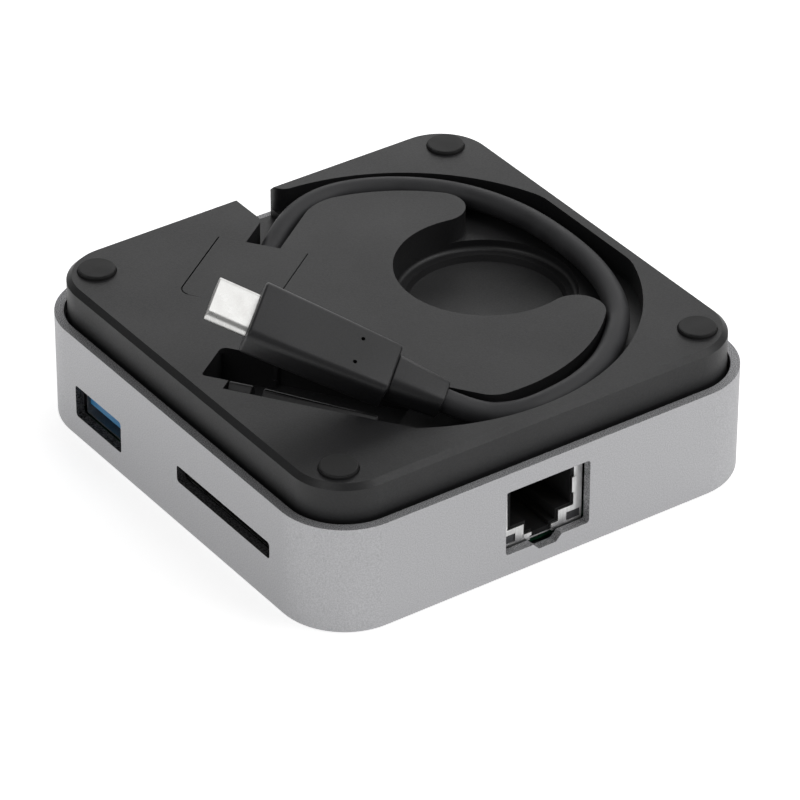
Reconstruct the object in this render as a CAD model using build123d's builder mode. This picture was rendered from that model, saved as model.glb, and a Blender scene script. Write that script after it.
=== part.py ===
"""Laptop docking station, laid on its flat face with the cord well upwards.

Millimetres. The origin is the middle of the square footprint on the surface the dock lies on,
+Z rises through the base cover to the feet, -Y is the face with the network socket and
-X the face with the card slot. In use the dock is turned over and stands on its four feet.
"""
from build123d import *
from math import cos, pi, radians, sin
import os

# ---------------------------------------------------------------- driving dimensions
# aluminium shell
SIDE = 88.0                  # outside of the square shell
SHELL_HEIGHT = 20.0
SHELL_RADIUS = 12.0          # outer corner radius, seen from above
WALL = 1.6                   # side walls
DECK = 1.6                   # closed user side, which the dock lies on here
SHELL_EDGE = 0.8             # rounding where the walls meet the deck

# base cover
BASE_GAP = 0.6               # shadow gap between shell wall and base cover
BASE_RISE = 6.8              # how far the base cover stands out of the shell
BASE_SINK = 1.4              # how far its skirt reaches down into the shell
BASE_CHAMFER = 0.9
BASE_PLATE = 1.8             # thickness of its flat top
BASE_SKIN = 1.5              # thickness of its skirt and of the wells' walls and floors

# cord groove, finger bay, plug pocket and lead-out notch, all sunk in the base cover
GROOVE_X = 2.0               # the groove's ring is centred a little right of the dock's middle
GROOVE_OUTER = 39.2
GROOVE_INNER = 33.3
GROOVE_FLAT = 37.2           # the ring is cut flat this far right of its own centre
GROOVE_DEPTH = 4.6
BAY_X = 18.5
BAY_RADIUS = 15.5
BAY_DEPTH = 6.4              # down to the ledge
BAY_LEDGE = 1.9              # width of the ledge round the dished floor
BAY_ROUND = 0.8              # roundings of the bay's foot
DISH_DEPTH = 2.2             # dish below the ledge, at its middle
HORN_RADIUS = 4.7            # rounded tips between the bay and the groove
POCKET_DEPTH = 6.2
POCKET_WIDE = 12.9           # inner wall beside the plug's moulded body, from the outer wall's line
POCKET_NARROW = POCKET_WIDE - 1.5    # inner wall beside the plug's metal tip
POCKET_TIP = 9.3             # length of the narrow part
POCKET_TUCK = 2.5            # the outer wall steps in by this much at its end
POCKET_ROUND = 5.0           # plan radius of the island's corner between pocket and ring
POCKET_STEP = 4.6            # length from the corner to that step
POCKET_CORNER = (-35.2, -9.9)    # where the outer wall bends
POCKET_TURN = -55.0          # degrees from +X to the way the outer wall runs
POCKET_DEEP = 23.0           # length of its deep floor beyond the corner
HOOK_GAP = 0.15              # from the pocket's step to the hook
HOOK_LENGTH = 2.9
RAIL = (-0.5, 19.0, 0.8)     # start and end along the pocket, and gap behind the rail
RAIL_THICK = 1.8
RAIL_EDGE = 0.5
RAIL_DROP = 0.15             # below the base's face
NOTCH_LEFT = -4.1
NOTCH_RIGHT = 3.4
NOTCH_DEPTH = 6.0

# cable cover, a flat plate let into the base cover over the cord's entry
COVER_WIDTH = 15.8
COVER_LENGTH = 18.3
COVER_THICK = 1.6
COVER_RADIUS = 2.0
COVER_SEAM = 0.15            # gap round it
COVER_AT = (-8.5, 26.25)     # middle of the edge that bridges the cord
COVER_TURN = 35.5            # degrees from +X to the way the cord leaves it
ENTRY_WIDTH = 6.1            # the straight channel under the cover
ENTRY_LENGTH = 17.0          # how far it runs back under the cover
ENTRY_DEPTH = 6.3
LEG_SIZE = (3.0, 1.4, 3.4)   # the cover's two locating legs
LEG_PLACE = (-15.4, 6.0)

# cord grommet, clamped between base cover and cable cover
GROMMET_FACE = 5.5           # its face, back from the cover's bridging edge
GROMMET_LENGTH = 7.0
GROMMET_WIDTH = 5.8
FLANGE_WIDTH = 8.2
FLANGE_THICK = 1.6
GROMMET_FIT = 0.15
LEAD_DIAMETER = 2.8

# feet and base screws
FOOT_SPREAD = 35.4
FOOT_RADIUS = 3.22
FOOT_PROUD = 0.65
FOOT_SINK = 0.7
FOOT_FIT = 0.12
POST_RADIUS = 3.3            # posts that rise from the shell's deck
SCREW_RADIUS = 1.0
SCREW_HEAD_RADIUS = 1.9
SCREW_HEAD_HEIGHT = 1.3
SCREW_LENGTH = 9.0
SCREW_FIT = 0.05

# boards
BOARD_THICK = 1.2
BOARD_LIFT = 1.2             # standoffs between deck and main board
BOARD_GAP = 1.2              # main board to shell wall
RISER_THICK = 1.0
RISER_LIFT = 8.2             # main board to riser board

# sockets: places along their walls and heights of their middles
NET_X = -0.7
NET_OPENING = (16.6, 12.1)
NET_Z = 10.4
USB_OPENING = (13.9, 6.0)
USB_Z = 7.65
USB_LEFT_Y = 22.4
USB_BACK_X = -13.0
CARD_OPENING = (26.9, 3.1)
CARD_Y = -14.95
CARD_Z = 10.3
VIDEO_OPENING = (15.8, 6.4)
VIDEO_Y = 14.0
VIDEO_Z = 7.3
POWER_OPENING = (9.7, 3.9)
POWER_Y = -14.0
POWER_Z = 6.0
OPENING_RADIUS = 0.6
SOCKET_SETBACK = 1.9         # socket mouths behind the outer face of the wall
SHEET = 0.3                  # sheet metal of the socket shells

# cord and plug
CORD_DIAMETER = 4.0
PLUG_HEADING = -43.3         # degrees from +X to the way back down the plug and its cord
PLUG_PITCH = 23.0            # nose up
PLUG_ROLL = 20.4             # near side down
PLUG_RELIEF = 9.2
PLUG_SEAM = 0.02             # clearance between the cord's end and its strain relief
PLUG_BODY = (11.8, 6.2, 24.0)
PLUG_BODY_NECK = (10.0, 6.4)
PLUG_SHELL = (8.25, 2.4, 7.1)
PLUG_CORNER = 1.9
RELIEF_ENDS = ((5.7, 5.3, 2.5), (6.4, 5.7, 2.6))     # width, thickness and corner radius at its two ends

# ---------------------------------------------------------------- derived levels and places
HALF = SIDE / 2
INNER_HALF = HALF - WALL
BASE_HALF = INNER_HALF - BASE_GAP
BASE_RADIUS = SHELL_RADIUS - WALL - BASE_GAP
BASE_TOP = SHELL_HEIGHT + BASE_RISE
BASE_FOOT = SHELL_HEIGHT - BASE_SINK
GROOVE_FLOOR = BASE_TOP - GROOVE_DEPTH
POCKET_FLOOR = BASE_TOP - POCKET_DEPTH
RAIL_TOP = BASE_TOP - RAIL_DROP
BAY_LEDGE_Z = BASE_TOP - BAY_DEPTH
DISH_FLOOR = BAY_LEDGE_Z - DISH_DEPTH
BOARD_FOOT = DECK + BOARD_LIFT
BOARD_TOP = BOARD_FOOT + BOARD_THICK
RISER_FOOT = BOARD_TOP + RISER_LIFT
RISER_TOP = RISER_FOOT + RISER_THICK
BOARD_HALF = INNER_HALF - BOARD_GAP
SHELF_Z = BASE_TOP - COVER_THICK
ENTRY_FLOOR = BASE_TOP - ENTRY_DEPTH
ENTRY_REACH = 17.0           # the entry channel runs this far out, into the ring

os.makedirs("parts", exist_ok=True)


def keep(builder, label):
    """Label a finished piece and write it as a STEP file of its own."""
    builder.part.label = label
    export_step(builder.part, f"parts/{label}.step")


def inward_plane(wall, along, height, depth=0.0):
    """Plane on a wall's outer face: its X runs along the wall, its Y up, its Z into the dock."""
    origins = {
        "left": ((-HALF + depth, along, height), (0, 1, 0), (1, 0, 0)),
        "front": ((along, -HALF + depth, height), (-1, 0, 0), (0, 1, 0)),
        "right": ((HALF - depth, along, height), (0, -1, 0), (-1, 0, 0)),
        "back": ((along, HALF - depth, height), (1, 0, 0), (0, -1, 0)),
    }
    origin, x_dir, z_dir = origins[wall]
    return Plane(origin=origin, x_dir=x_dir, z_dir=z_dir)


# ---------------------------------------------------------------- aluminium shell
BOARD_SCREWS = [(-24.0, 34.0), (24.0, 34.0), (26.0, -33.0), (-21.5, -34.5)]
STANDOFF_RADIUS = 2.6
BOARD_SCREW_BITE = 1.7
PORTS = [
    ("front", NET_X, NET_Z, NET_OPENING, OPENING_RADIUS),
    ("left", USB_LEFT_Y, USB_Z, USB_OPENING, OPENING_RADIUS),
    ("back", USB_BACK_X, USB_Z, USB_OPENING, OPENING_RADIUS),
    ("left", CARD_Y, CARD_Z, CARD_OPENING, OPENING_RADIUS),
    ("right", VIDEO_Y, VIDEO_Z, VIDEO_OPENING, OPENING_RADIUS),
    ("right", POWER_Y, POWER_Z, POWER_OPENING, POWER_OPENING[1] / 2 - 0.05),
]
LATCH_NOTCH = (5.7, 3.3, 1.2)     # mouth width, bottom width and depth of the plug latch's way out

with BuildPart() as aluminium_shell:
    with BuildSketch():
        RectangleRounded(SIDE, SIDE, SHELL_RADIUS)
    extrude(amount=SHELL_HEIGHT)
    fillet(aluminium_shell.faces().sort_by(Axis.Z)[0].edges(), SHELL_EDGE)
    with BuildSketch(Plane.XY.offset(DECK)):
        RectangleRounded(2 * INNER_HALF, 2 * INNER_HALF, SHELL_RADIUS - WALL)
    extrude(amount=SHELL_HEIGHT, mode=Mode.SUBTRACT)
    with BuildSketch(Plane.XY.offset(DECK)):
        with GridLocations(2 * FOOT_SPREAD, 2 * FOOT_SPREAD, 2, 2):
            Circle(POST_RADIUS)
    extrude(amount=BASE_FOOT - DECK)
    with BuildSketch(Plane.XY.offset(DECK)):
        with Locations(*BOARD_SCREWS):
            Circle(STANDOFF_RADIUS)
    extrude(amount=BOARD_LIFT)
    with Locations(Plane.XY.offset(BASE_FOOT)):
        with GridLocations(2 * FOOT_SPREAD, 2 * FOOT_SPREAD, 2, 2):
            Hole(SCREW_RADIUS + SCREW_FIT, depth=SCREW_LENGTH)
    with Locations(Plane.XY.offset(BOARD_FOOT)):
        with Locations(*BOARD_SCREWS):
            Hole(SCREW_RADIUS + SCREW_FIT, depth=BOARD_SCREW_BITE + SCREW_FIT)
    for wall, along, height, (width, tall), radius in PORTS:
        with BuildSketch(inward_plane(wall, along, height)):
            RectangleRounded(width, tall, radius)
        extrude(amount=WALL + 0.4, mode=Mode.SUBTRACT)
    with BuildSketch(inward_plane("front", NET_X, NET_Z - NET_OPENING[1] / 2)):
        with BuildLine():
            Polyline(
                (-LATCH_NOTCH[0] / 2, 0.5),
                (-LATCH_NOTCH[0] / 2, 0),
                (-LATCH_NOTCH[1] / 2, -LATCH_NOTCH[2]),
                (LATCH_NOTCH[1] / 2, -LATCH_NOTCH[2]),
                (LATCH_NOTCH[0] / 2, 0),
                (LATCH_NOTCH[0] / 2, 0.5),
                close=True,
            )
        make_face()
    extrude(amount=WALL + 0.4, mode=Mode.SUBTRACT)
keep(aluminium_shell, "aluminium_shell")

# ---------------------------------------------------------------- base cover
# Cable cover's own plane: origin at its bridging edge, X along the way the cord leaves it.
cover_way = Vector(cos(radians(COVER_TURN)), sin(radians(COVER_TURN)), 0)
cover_side = Vector(cover_way.Y, -cover_way.X, 0)


# The plug pocket's own frame runs along its outer wall from the corner where that wall bends.
pocket_way = Vector(cos(radians(POCKET_TURN)), sin(radians(POCKET_TURN)), 0)
pocket_in = Vector(-pocket_way.Y, pocket_way.X, 0)


def pocket_plane(height):
    """Plane at a height with its X along the plug pocket's outer wall and its Y towards the island."""
    return Plane(origin=(POCKET_CORNER[0], POCKET_CORNER[1], height), x_dir=pocket_way, z_dir=(0, 0, 1))


def cover_plane(height):
    """Plane at a height with its X along the cord's way out from under the cable cover."""
    return Plane(origin=(COVER_AT[0], COVER_AT[1], height), x_dir=cover_way, z_dir=(0, 0, 1))




def pocket_point(along, inside):
    """Plan point in the pocket's frame: along its outer wall, and inside from that wall."""
    point = Vector(*POCKET_CORNER) + pocket_way * along + pocket_in * inside
    return (point.X, point.Y)


# where the pocket's outer wall runs out into the groove's outer wall
ring_centre = Vector(GROOVE_X, 0, 0) - Vector(*POCKET_CORNER)
ring_along = ring_centre.dot(pocket_way)
ring_inside = ring_centre.dot(pocket_in)
POCKET_MEET = ring_along + (GROOVE_OUTER**2 - ring_inside**2) ** 0.5
POCKET_HEEL = ring_along + (GROOVE_INNER**2 - (ring_inside - POCKET_WIDE) ** 2) ** 0.5

# rounded horns of the island, between the bay and the groove
horn_out = GROOVE_INNER - HORN_RADIUS
horn_in = BAY_RADIUS + HORN_RADIUS
bay_off = BAY_X - GROOVE_X
horn_x = (horn_out**2 - horn_in**2 + bay_off**2) / (2 * bay_off)
horn_y = (horn_out**2 - horn_x**2) ** 0.5
horn = Vector(GROOVE_X + horn_x, horn_y, 0)
to_ring = Vector(horn_x, horn_y, 0).normalized()
to_bay = Vector(BAY_X - horn.X, -horn.Y, 0).normalized()
horn_ring = horn + to_ring * HORN_RADIUS
horn_bay = horn + to_bay * HORN_RADIUS
horn_tip = horn + (to_ring + to_bay).normalized() * HORN_RADIUS

with BuildSketch() as groove_plan:
    # ring, cut flat beside the dock's right wall
    with Locations((GROOVE_X, 0)):
        Circle(GROOVE_OUTER)
    with Locations((GROOVE_X + GROOVE_FLAT - HALF, 0)):
        Rectangle(SIDE, 2 * SIDE, mode=Mode.INTERSECT)
    with Locations((GROOVE_X, 0)):
        Circle(GROOVE_INNER, mode=Mode.SUBTRACT)
    # no groove in the corner between lead-out notch and plug pocket, nor outside the pocket
    with BuildLine():
        Polyline(
            pocket_point(POCKET_TIP, -HALF),
            pocket_point(POCKET_TIP, HALF / 2),
            (NOTCH_LEFT, HALF / 2),
            (NOTCH_LEFT, SIDE),
            (-SIDE, SIDE),
            close=True,
        )
    make_face(mode=Mode.SUBTRACT)
    with BuildLine():
        Polyline(
            pocket_point(-POCKET_TIP, POCKET_TUCK),
            pocket_point(-POCKET_STEP, POCKET_TUCK),
            pocket_point(-POCKET_STEP, 0),
            pocket_point(POCKET_MEET, 0),
            pocket_point(POCKET_MEET, -HALF),
            pocket_point(-POCKET_TIP, -HALF),
            close=True,
        )
    make_face(mode=Mode.SUBTRACT)
    # plug pocket
    with BuildLine():
        Polyline(
            pocket_point(-POCKET_TIP, POCKET_TUCK),
            pocket_point(-POCKET_STEP, POCKET_TUCK),
            pocket_point(-POCKET_STEP, 0),
            pocket_point(POCKET_MEET, 0),
            pocket_point(POCKET_HEEL, POCKET_WIDE),
            pocket_point(0, POCKET_WIDE),
            pocket_point(0, POCKET_NARROW),
            pocket_point(-POCKET_TIP, POCKET_NARROW),
            close=True,
        )
    make_face()
    # the bay's mouth, between the horns
    with BuildLine():
        ThreePointArc(horn_ring, (GROOVE_X + GROOVE_INNER + 1, 0), (horn_ring.X, -horn_ring.Y))
        ThreePointArc((horn_ring.X, -horn_ring.Y), (horn_tip.X, -horn_tip.Y), (horn_bay.X, -horn_bay.Y))
        Line((horn_bay.X, -horn_bay.Y), horn_bay)
        ThreePointArc(horn_bay, horn_tip, horn_ring)
    make_face()
    # straight entry from under the cable cover, and the notch where the cord leads out in use
    with BuildLine(cover_plane(0)):
        Polyline(
            (-ENTRY_LENGTH, -ENTRY_WIDTH / 2),
            (ENTRY_REACH, -ENTRY_WIDTH / 2),
            (ENTRY_REACH, ENTRY_WIDTH / 2),
            (-ENTRY_LENGTH, ENTRY_WIDTH / 2),
            close=True,
        )
    make_face()
    with BuildLine():
        Polyline(
            (NOTCH_LEFT, GROOVE_INNER - 1),
            (NOTCH_RIGHT, GROOVE_INNER - 1),
            (NOTCH_RIGHT, SIDE / 2),
            (NOTCH_LEFT, SIDE / 2),
            close=True,
        )
    make_face()
    flat_end = (GROOVE_OUTER**2 - GROOVE_FLAT**2) ** 0.5
    for corner, radius in (
        ((GROOVE_X + GROOVE_FLAT, flat_end), 9.0),                 # outer wall, where its flat begins
        ((GROOVE_X + GROOVE_FLAT, -flat_end), 9.0),                # and ends
        ((6.3, 33.1), 9.0),                                        # island, where entry joins ring
        ((NOTCH_LEFT, 33.1), 2.5),                                 # notch's left wall
        ((NOTCH_RIGHT, GROOVE_OUTER), 2.5),                        # notch's right wall
        (pocket_point(POCKET_HEEL, POCKET_WIDE), POCKET_ROUND),    # island, where pocket joins ring
        (pocket_point(0, POCKET_WIDE), 0.7),
        (pocket_point(0, POCKET_NARROW), 0.7),
        (pocket_point(-POCKET_TIP, POCKET_NARROW), 1.2),
        (pocket_point(-POCKET_TIP, POCKET_TUCK), 0.6),
    ):
        vertex = groove_plan.vertices().sort_by_distance((corner[0], corner[1], 0))[0]
        fillet(vertex, radius)

with BuildPart() as base_cover:
    # skirted block with its top edge bevelled
    with BuildSketch(Plane.XY.offset(BASE_FOOT)):
        RectangleRounded(2 * BASE_HALF, 2 * BASE_HALF, BASE_RADIUS)
    extrude(amount=BASE_TOP - BASE_FOOT)
    chamfer(base_cover.faces().sort_by(Axis.Z)[-1].edges(), BASE_CHAMFER)
    # hollow under its flat top
    with BuildSketch(Plane.XY.offset(BASE_FOOT)):
        skirt_inner = BASE_HALF - BASE_SKIN
        RectangleRounded(2 * skirt_inner, 2 * skirt_inner, BASE_RADIUS - BASE_SKIN)
    extrude(amount=BASE_TOP - BASE_PLATE - BASE_FOOT, mode=Mode.SUBTRACT)
    # floors and walls of the wells
    with BuildSketch(Plane.XY.offset(GROOVE_FLOOR - BASE_SKIN)):
        with Locations((GROOVE_X, 0)):
            Circle(GROOVE_OUTER + BASE_SKIN)
        Rectangle(2 * BASE_HALF - BASE_SKIN, 2 * BASE_HALF - BASE_SKIN, mode=Mode.INTERSECT)
        with Locations((GROOVE_X, 0)):
            Circle(GROOVE_INNER - BASE_SKIN, mode=Mode.SUBTRACT)
    extrude(until=Until.NEXT)
    with BuildSketch(Plane.XY.offset(GROOVE_FLOOR - BASE_SKIN)):
        with Locations((GROOVE_X, 0)):
            Circle(GROOVE_INNER)
        with Locations((horn_bay.X - BASE_SKIN, 0)):
            Rectangle(HALF, 2 * horn_ring.Y, align=(Align.MIN, Align.CENTER), mode=Mode.INTERSECT)
    extrude(amount=GROOVE_DEPTH + BASE_SKIN - BASE_PLATE / 2)
    with BuildSketch(Plane.XY.offset(GROOVE_FLOOR - BASE_SKIN)):
        with Locations(pocket_point(POCKET_HEEL, POCKET_WIDE)):
            Circle(2.5 * POCKET_ROUND)
        with Locations((GROOVE_X, 0)):
            Circle(GROOVE_INNER, mode=Mode.INTERSECT)
    extrude(amount=GROOVE_DEPTH + BASE_SKIN - BASE_PLATE / 2)
    with BuildSketch(pocket_plane(POCKET_FLOOR - BASE_SKIN)):
        with BuildLine():
            Polyline(
                (-POCKET_TIP - BASE_SKIN, POCKET_TUCK - BASE_SKIN),
                (-POCKET_STEP - BASE_SKIN, POCKET_TUCK - BASE_SKIN),
                (-POCKET_STEP - BASE_SKIN, -BASE_SKIN),
                (POCKET_DEEP + 3 * BASE_SKIN, -BASE_SKIN),
                (POCKET_DEEP + 3 * BASE_SKIN, POCKET_WIDE + BASE_SKIN),
                (-POCKET_TIP - BASE_SKIN, POCKET_WIDE + BASE_SKIN),
                close=True,
            )
        make_face()
    extrude(until=Until.NEXT)
    with BuildSketch(cover_plane(ENTRY_FLOOR - BASE_SKIN)):
        with Locations((-COVER_LENGTH / 2, 0)):
            Rectangle(COVER_LENGTH + 2 * BASE_SKIN, COVER_WIDTH + 2 * BASE_SKIN)
        with Locations((0, 0)):
            Rectangle(ENTRY_REACH, ENTRY_WIDTH + 2 * BASE_SKIN, align=(Align.MIN, Align.CENTER))
    extrude(until=Until.NEXT)
    with BuildSketch(Plane.XY.offset(DISH_FLOOR - BASE_SKIN)):
        with Locations((BAY_X, 0)):
            Circle(BAY_RADIUS + BASE_SKIN)
    extrude(until=Until.NEXT)
    with BuildSketch(Plane.XY.offset(BASE_FOOT)):
        with GridLocations(2 * FOOT_SPREAD, 2 * FOOT_SPREAD, 2, 2):
            Circle(POST_RADIUS)
    extrude(until=Until.NEXT)
    # groove, pocket and notch
    extrude(groove_plan.sketch.moved(Location((0, 0, GROOVE_FLOOR))), amount=SIDE, mode=Mode.SUBTRACT)
    with BuildSketch(pocket_plane(POCKET_FLOOR)):
        with BuildLine():
            Polyline(
                (-POCKET_TIP, POCKET_TUCK),
                (-POCKET_STEP, POCKET_TUCK),
                (-POCKET_STEP, 0),
                (POCKET_DEEP, 0),
                (POCKET_DEEP, POCKET_WIDE),
                (0, POCKET_WIDE),
                (0, POCKET_NARROW),
                (-POCKET_TIP, POCKET_NARROW),
                close=True,
            )
        make_face()
    extrude(amount=POCKET_DEPTH - 1, mode=Mode.SUBTRACT)
    # the entry's deeper floor, which ramps up to the groove, and the notch's
    with BuildSketch(Plane(origin=(COVER_AT[0], COVER_AT[1], 0), x_dir=cover_way, z_dir=cover_side)):
        with BuildLine():
            Polyline(
                (-ENTRY_LENGTH, SHELF_Z),
                (-ENTRY_LENGTH, ENTRY_FLOOR),
                (ENTRY_WIDTH, ENTRY_FLOOR),
                (ENTRY_REACH - ENTRY_WIDTH / 2, GROOVE_FLOOR),
                (ENTRY_REACH - ENTRY_WIDTH / 2, SHELF_Z),
                close=True,
            )
        make_face()
    extrude(amount=ENTRY_WIDTH / 2, both=True, mode=Mode.SUBTRACT)
    with BuildSketch(Plane.XY.offset(BASE_TOP - NOTCH_DEPTH)):
        with Locations(((NOTCH_LEFT + NOTCH_RIGHT) / 2, GROOVE_INNER)):
            Rectangle(NOTCH_RIGHT - NOTCH_LEFT, HALF, align=(Align.CENTER, Align.MIN))
    extrude(amount=NOTCH_DEPTH, mode=Mode.SUBTRACT)
    # finger bay: upright wall, ledge, dished floor
    with BuildSketch(Plane(origin=(BAY_X, 0, 0), x_dir=(1, 0, 0), z_dir=(0, -1, 0))):
        dish_radius = BAY_RADIUS - BAY_LEDGE
        dish_edge = (dish_radius - BAY_ROUND / 2, BAY_LEDGE_Z - DISH_DEPTH / 2)
        with BuildLine():
            TangentArc((0, DISH_FLOOR), dish_edge, tangent=(1, 0))
            Polyline(dish_edge, (dish_radius, BAY_LEDGE_Z), (BAY_RADIUS - BAY_ROUND, BAY_LEDGE_Z))
            TangentArc(
                (BAY_RADIUS - BAY_ROUND, BAY_LEDGE_Z),
                (BAY_RADIUS, BAY_LEDGE_Z + BAY_ROUND),
                tangent=(1, 0),
            )
            Polyline((BAY_RADIUS, BAY_LEDGE_Z + BAY_ROUND), (BAY_RADIUS, SIDE), (0, SIDE), (0, DISH_FLOOR))
        make_face()
    revolve(axis=Axis((BAY_X, 0, 0), (0, 0, 1)), mode=Mode.SUBTRACT)
    # seats of the cable cover, its legs and the grommet's flange, and the way down for the leads
    with BuildSketch(cover_plane(SHELF_Z)) as cover_seat:
        with Locations((COVER_SEAM, 0)):
            Rectangle(
                COVER_LENGTH + 2 * COVER_SEAM,
                COVER_WIDTH + 2 * COVER_SEAM,
                align=(Align.MAX, Align.CENTER),
            )
        fillet(cover_seat.vertices().group_by(Axis.X)[0], COVER_RADIUS + COVER_SEAM)
    extrude(amount=COVER_THICK, mode=Mode.SUBTRACT)
    with BuildSketch(cover_plane(SHELF_Z)):
        with Locations((LEG_PLACE[0], LEG_PLACE[1]), (LEG_PLACE[0], -LEG_PLACE[1])):
            Rectangle(LEG_SIZE[0] + 2 * COVER_SEAM, LEG_SIZE[1] + 2 * COVER_SEAM)
    extrude(amount=-LEG_SIZE[2] - COVER_SEAM, mode=Mode.SUBTRACT)
    with BuildSketch(cover_plane(ENTRY_FLOOR)):
        with Locations((-GROMMET_FACE - GROMMET_LENGTH / 2, 0)):
            Rectangle(FLANGE_THICK + 2 * GROMMET_FIT, FLANGE_WIDTH + 2 * GROMMET_FIT)
    extrude(amount=SHELF_Z - ENTRY_FLOOR, mode=Mode.SUBTRACT)
    with BuildSketch(cover_plane(ENTRY_FLOOR)):
        with Locations((-ENTRY_LENGTH, 0)):
            Rectangle(
                ENTRY_LENGTH - GROMMET_FACE - GROMMET_LENGTH,
                LEAD_DIAMETER + 2,
                align=(Align.MIN, Align.CENTER),
            )
    extrude(amount=-SIDE, mode=Mode.SUBTRACT)
    # seats of the feet, with the base screws sunk under them
    with Locations(Plane.XY.offset(BASE_TOP)):
        with GridLocations(2 * FOOT_SPREAD, 2 * FOOT_SPREAD, 2, 2):
            Hole(FOOT_RADIUS + FOOT_FIT, depth=FOOT_SINK)
    with Locations(Plane.XY.offset(BASE_TOP - FOOT_SINK)):
        with GridLocations(2 * FOOT_SPREAD, 2 * FOOT_SPREAD, 2, 2):
            CounterBoreHole(SCREW_RADIUS + SCREW_FIT, SCREW_HEAD_RADIUS + FOOT_FIT, SCREW_HEAD_HEIGHT + FOOT_FIT)
    # hook and springy rail that hold the stowed plug, each standing clear of the pocket's outer wall
    for start, end, gap in ((-POCKET_STEP + HOOK_GAP, -POCKET_STEP + HOOK_GAP + HOOK_LENGTH, 1.4), RAIL):
        foot = Vector(*POCKET_CORNER) + pocket_way * start
        with BuildSketch(Plane(origin=foot, x_dir=pocket_in, z_dir=pocket_way)):
            with BuildLine():
                Polyline(
                    (gap, POCKET_FLOOR - BASE_SKIN / 2),
                    (gap, RAIL_TOP - RAIL_EDGE),
                    (gap + RAIL_EDGE, RAIL_TOP),
                    (gap + RAIL_THICK - RAIL_EDGE, RAIL_TOP),
                    (gap + RAIL_THICK, RAIL_TOP - RAIL_EDGE),
                    (gap + RAIL_THICK, POCKET_FLOOR - BASE_SKIN / 2),
                    close=True,
                )
            make_face()
        extrude(amount=end - start)
keep(base_cover, "base_cover")

# ---------------------------------------------------------------- cable cover and feet
with BuildPart() as cable_cover:
    with BuildSketch(cover_plane(SHELF_Z)) as cover_outline:
        Rectangle(COVER_LENGTH, COVER_WIDTH, align=(Align.MAX, Align.CENTER))
        fillet(cover_outline.vertices().group_by(Axis.X)[0], COVER_RADIUS)
    extrude(amount=COVER_THICK)
    with BuildSketch(cover_plane(SHELF_Z)):
        with Locations((LEG_PLACE[0], LEG_PLACE[1]), (LEG_PLACE[0], -LEG_PLACE[1])):
            Rectangle(LEG_SIZE[0], LEG_SIZE[1])
    extrude(amount=-LEG_SIZE[2])
keep(cable_cover, "cable_cover")

for foot_name, side_x, side_y in (
    ("foot_by_card_slot", -1, -1),
    ("foot_by_network_socket", 1, -1),
    ("foot_by_video_socket", 1, 1),
    ("foot_by_usb_socket", -1, 1),
):
    with BuildPart() as foot:
        with BuildSketch(Plane((side_x * FOOT_SPREAD, side_y * FOOT_SPREAD, BASE_TOP - FOOT_SINK))):
            Circle(FOOT_RADIUS)
        extrude(amount=FOOT_SINK + FOOT_PROUD)
        chamfer(foot.faces().sort_by(Axis.Z)[-1].edges(), FOOT_PROUD / 3)
    keep(foot, foot_name)

# ---------------------------------------------------------------- screws
HEAD_Z = BASE_TOP - FOOT_SINK - SCREW_HEAD_HEIGHT - FOOT_FIT
with BuildPart() as base_screws:
    with BuildSketch(Plane.XY.offset(HEAD_Z)):
        with GridLocations(2 * FOOT_SPREAD, 2 * FOOT_SPREAD, 2, 2):
            Circle(SCREW_HEAD_RADIUS)
    extrude(amount=SCREW_HEAD_HEIGHT)
    with BuildSketch(Plane.XY.offset(HEAD_Z + SCREW_HEAD_HEIGHT)):
        with GridLocations(2 * FOOT_SPREAD, 2 * FOOT_SPREAD, 2, 2):
            RegularPolygon(SCREW_RADIUS, 6)
    extrude(amount=-SCREW_HEAD_HEIGHT / 2, mode=Mode.SUBTRACT)
    with BuildSketch(Plane.XY.offset(HEAD_Z)):
        with GridLocations(2 * FOOT_SPREAD, 2 * FOOT_SPREAD, 2, 2):
            Circle(SCREW_RADIUS)
    extrude(amount=-(HEAD_Z - BASE_FOOT) - SCREW_LENGTH + 1)
keep(base_screws, "base_screws")

with BuildPart() as board_screws:
    with BuildSketch(Plane.XY.offset(BOARD_TOP)):
        with Locations(*BOARD_SCREWS):
            Circle(SCREW_HEAD_RADIUS)
    extrude(amount=SCREW_HEAD_HEIGHT)
    with BuildSketch(Plane.XY.offset(BOARD_TOP + SCREW_HEAD_HEIGHT)):
        with Locations(*BOARD_SCREWS):
            RegularPolygon(SCREW_RADIUS, 6)
    extrude(amount=-SCREW_HEAD_HEIGHT / 2, mode=Mode.SUBTRACT)
    with BuildSketch(Plane.XY.offset(BOARD_TOP)):
        with Locations(*BOARD_SCREWS):
            Circle(SCREW_RADIUS)
    extrude(amount=-BOARD_THICK - BOARD_SCREW_BITE)
keep(board_screws, "board_screws")

# ---------------------------------------------------------------- boards and what stands on them
BOARD_CORNER = 9.4               # square notches round the posts
with BuildPart() as main_board:
    with BuildSketch(Plane.XY.offset(BOARD_FOOT)):
        Rectangle(2 * BOARD_HALF, 2 * BOARD_HALF)
        with GridLocations(2 * BOARD_HALF, 2 * BOARD_HALF, 2, 2):
            Rectangle(2 * BOARD_CORNER, 2 * BOARD_CORNER, mode=Mode.SUBTRACT)
        with Locations(*BOARD_SCREWS):
            Circle(SCREW_RADIUS + SCREW_FIT, mode=Mode.SUBTRACT)
    extrude(amount=BOARD_THICK)
keep(main_board, "main_board")

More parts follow.
